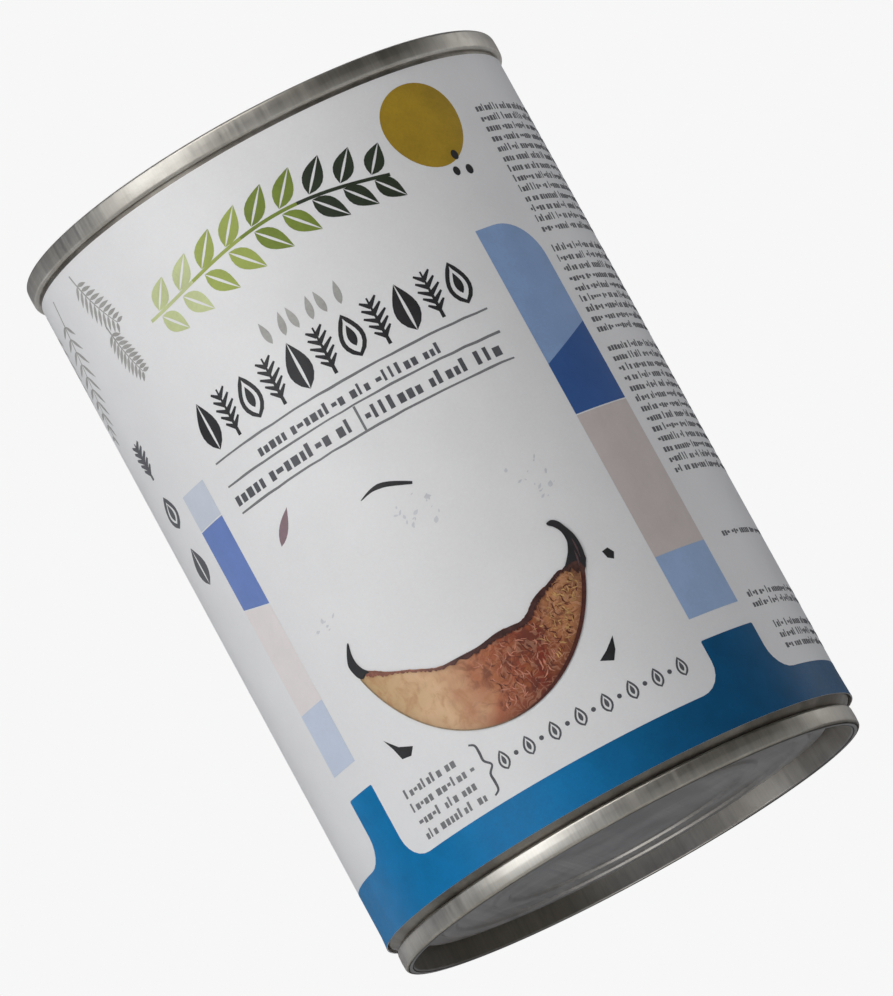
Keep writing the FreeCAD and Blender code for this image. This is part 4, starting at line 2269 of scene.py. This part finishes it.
@dataclass
class Studio:
    """The floor, the soft lights, the pale backdrop and the camera."""

    camera_azimuth: float = 6.8
    camera_elevation: float = -9.67
    camera_distance: float = 1.2653
    camera_aim: float = 56.4 * MM
    camera_sideways: float = 0.6 * MM
    camera_roll: float = -28.7
    lens: float = 325.3
    sensor: float = 36.0
    floor_rings: tuple[float, ...] = (0.2, 1.0, 4.0)
    floor_steps: int = 96
    floor_overlap: float = 0.3 * MM
    backdrop: float = 0.93
    ambient: Colour = Colour(116, 118, 124)
    dark_card: Colour = Colour(70, 69, 65)
    dark_azimuth: float = 80.0
    dark_spread: Point = (0.2, 0.8)
    lights: tuple[Softbox, ...] = (
        Softbox("key", -37.0, 25.0, 1.1, 0.75, 0.95, 4.8, Colour(252, 254, 255)),
        Softbox("front", 2.0, 44.0, 1.3, 0.8, 0.5, 3.6, Colour(255, 253, 248)),
        Softbox("right", 130.0, 10.0, 1.3, 0.5, 0.6, 1.1),
        Softbox("left", -128.0, 8.0, 1.3, 0.4, 0.6, 0.2),
        Softbox("under_left", -62.0, -20.0, 1.2, 0.5, 0.3, 1.0),
        Softbox("below", -20.0, -78.0, 0.8, 0.5, 0.5, 0.9),
        Softbox("rear", 190.0, 45.0, 1.5, 0.9, 0.6, 3.0),
        Softbox("foot_front", -22.0, 3.0, 0.5, 0.16, 0.1, 0.05),
        Softbox("foot_left", -118.0, 3.0, 0.5, 0.14, 0.1, 0.03),
    )

    def floor(self, hole: float) -> Piece:
        """Makes the floor, open under the can so that light reaches its foot.

        Args:
            hole: The opening's radius.

        Returns:
            The floor.
        """
        rings, steps = (hole, *self.floor_rings), self.floor_steps
        points: list[Vector] = []
        for ring in rings:
            for step in range(steps):
                turn = math.tau * step / steps
                points.append(Vector((ring * math.cos(turn), ring * math.sin(turn), CAD_BOX[0][2])))
        faces: list[tuple[int, ...]] = []
        for ring in range(len(rings) - 1):
            for step in range(steps):
                onward = (step + 1) % steps
                inner, outer = ring * steps, (ring + 1) * steps
                faces.append((inner + step, outer + step, outer + onward, inner + onward))
        piece = new_piece("floor", points, faces)
        paint = OneSided("floor_paint", Colour(236, 236, 234), self.backdrop)
        piece.data.materials.append(material_of(paint))
        return piece

    def surroundings(self, nodes: Nodes, path: bpy.types.Node) -> Socket:
        """Darkens what the can's right side reflects, as a black card beside it does.

        Args:
            nodes: The world's nodes.
            path: The node that tells which kind of ray looks.

        Returns:
            The colour of the surroundings.
        """
        facing = nodes.add("ShaderNodeVectorMath", operation="DOT_PRODUCT")
        towards = nodes.add("ShaderNodeTexCoord").outputs["Generated"]
        nodes.feed_all(facing, towards, bearing(self.dark_azimuth, 0.0))
        most = path.outputs["Is Glossy Ray"]
        share = nodes.remap(facing.outputs["Value"], self.dark_spread, (0.0, most), smooth=True)
        return nodes.blend(share, self.ambient.linear(), self.dark_card.linear())

    def world(self) -> None:
        """Sets a pale backdrop for the camera and a softer grey for light and reflections."""
        world = bpy.data.worlds.new("studio")
        nodes = Nodes(world)
        path = nodes.add("ShaderNodeLightPath")
        around, behind = (nodes.add("ShaderNodeBackground") for _ in range(2))
        grey = nodes.feed_all(around, self.surroundings(nodes, path))
        pale = nodes.feed_all(behind, (self.backdrop, self.backdrop, self.backdrop, 1.0))
        shown = nodes.either(path.outputs["Is Camera Ray"], grey, pale)
        nodes.feed(nodes.add("ShaderNodeOutputWorld").inputs["Surface"], shown)
        bpy.context.scene.world = world

    def camera(self) -> None:
        """Adds the camera, below the can's foot and rolled so that the can leans."""
        data = bpy.data.cameras.new("camera")
        data.sensor_width = self.sensor
        data.lens = self.lens
        data.clip_start, data.clip_end = 0.05, 50.0
        camera = bpy.data.objects.new("camera", data)
        back = bearing(self.camera_azimuth, self.camera_elevation)
        turned = back.to_track_quat("Z", "Y").to_matrix()
        sideways = turned @ Vector((self.camera_sideways, 0.0, 0.0))
        eye = Vector((0.0, 0.0, self.camera_aim)) + sideways + back * self.camera_distance
        rolled = turned @ Matrix.Rotation(math.radians(self.camera_roll), 3, "Z")
        camera.matrix_world = Matrix.Translation(eye) @ rolled.to_4x4()
        bpy.context.scene.collection.objects.link(camera)
        bpy.context.scene.camera = camera

    def build(self, foot_radius: float) -> None:
        """Sets up the studio.

        Args:
            foot_radius: The radius of the can's wall at its foot, which the floor reaches under.
        """
        target = Vector((0.0, 0.0, (CAD_BOX[0][2] + CAD_BOX[1][2]) / 2))
        self.floor(foot_radius - self.floor_overlap)
        self.world()
        self.camera()
        for light in self.lights:
            light.build(target)
        bpy.context.scene.view_settings.view_transform = "Standard"


def main() -> None:
    """Builds the can and its studio, and reports each piece."""
    logging.basicConfig(level=logging.INFO, format="%(name)s: %(message)s")
    foot, head = SeamedEnd(EndKind.FOOT), SeamedEnd(EndKind.HEAD)
    sheet = LabelSheet()
    assemblies = (
        foot,
        head,
        TinWall(foot, head),
        sheet,
        BaseBand(sheet),
        ColourColumns(sheet),
        MustardDisc(sheet),
        LeafSprig(sheet),
        OrnamentRow(sheet),
        CoconutHalf(sheet),
        SmallPrint(sheet),
        FrondArt(sheet),
        BackPanel(sheet),
    )
    for assembly in assemblies:
        for piece in assembly.build():
            faces = len(piece.data.polygons)
            log.info("%s: %s, %d faces", type(assembly).__name__, piece.name, faces)
    Studio().build(foot.wall)


if __name__ == "__main__":
    main()
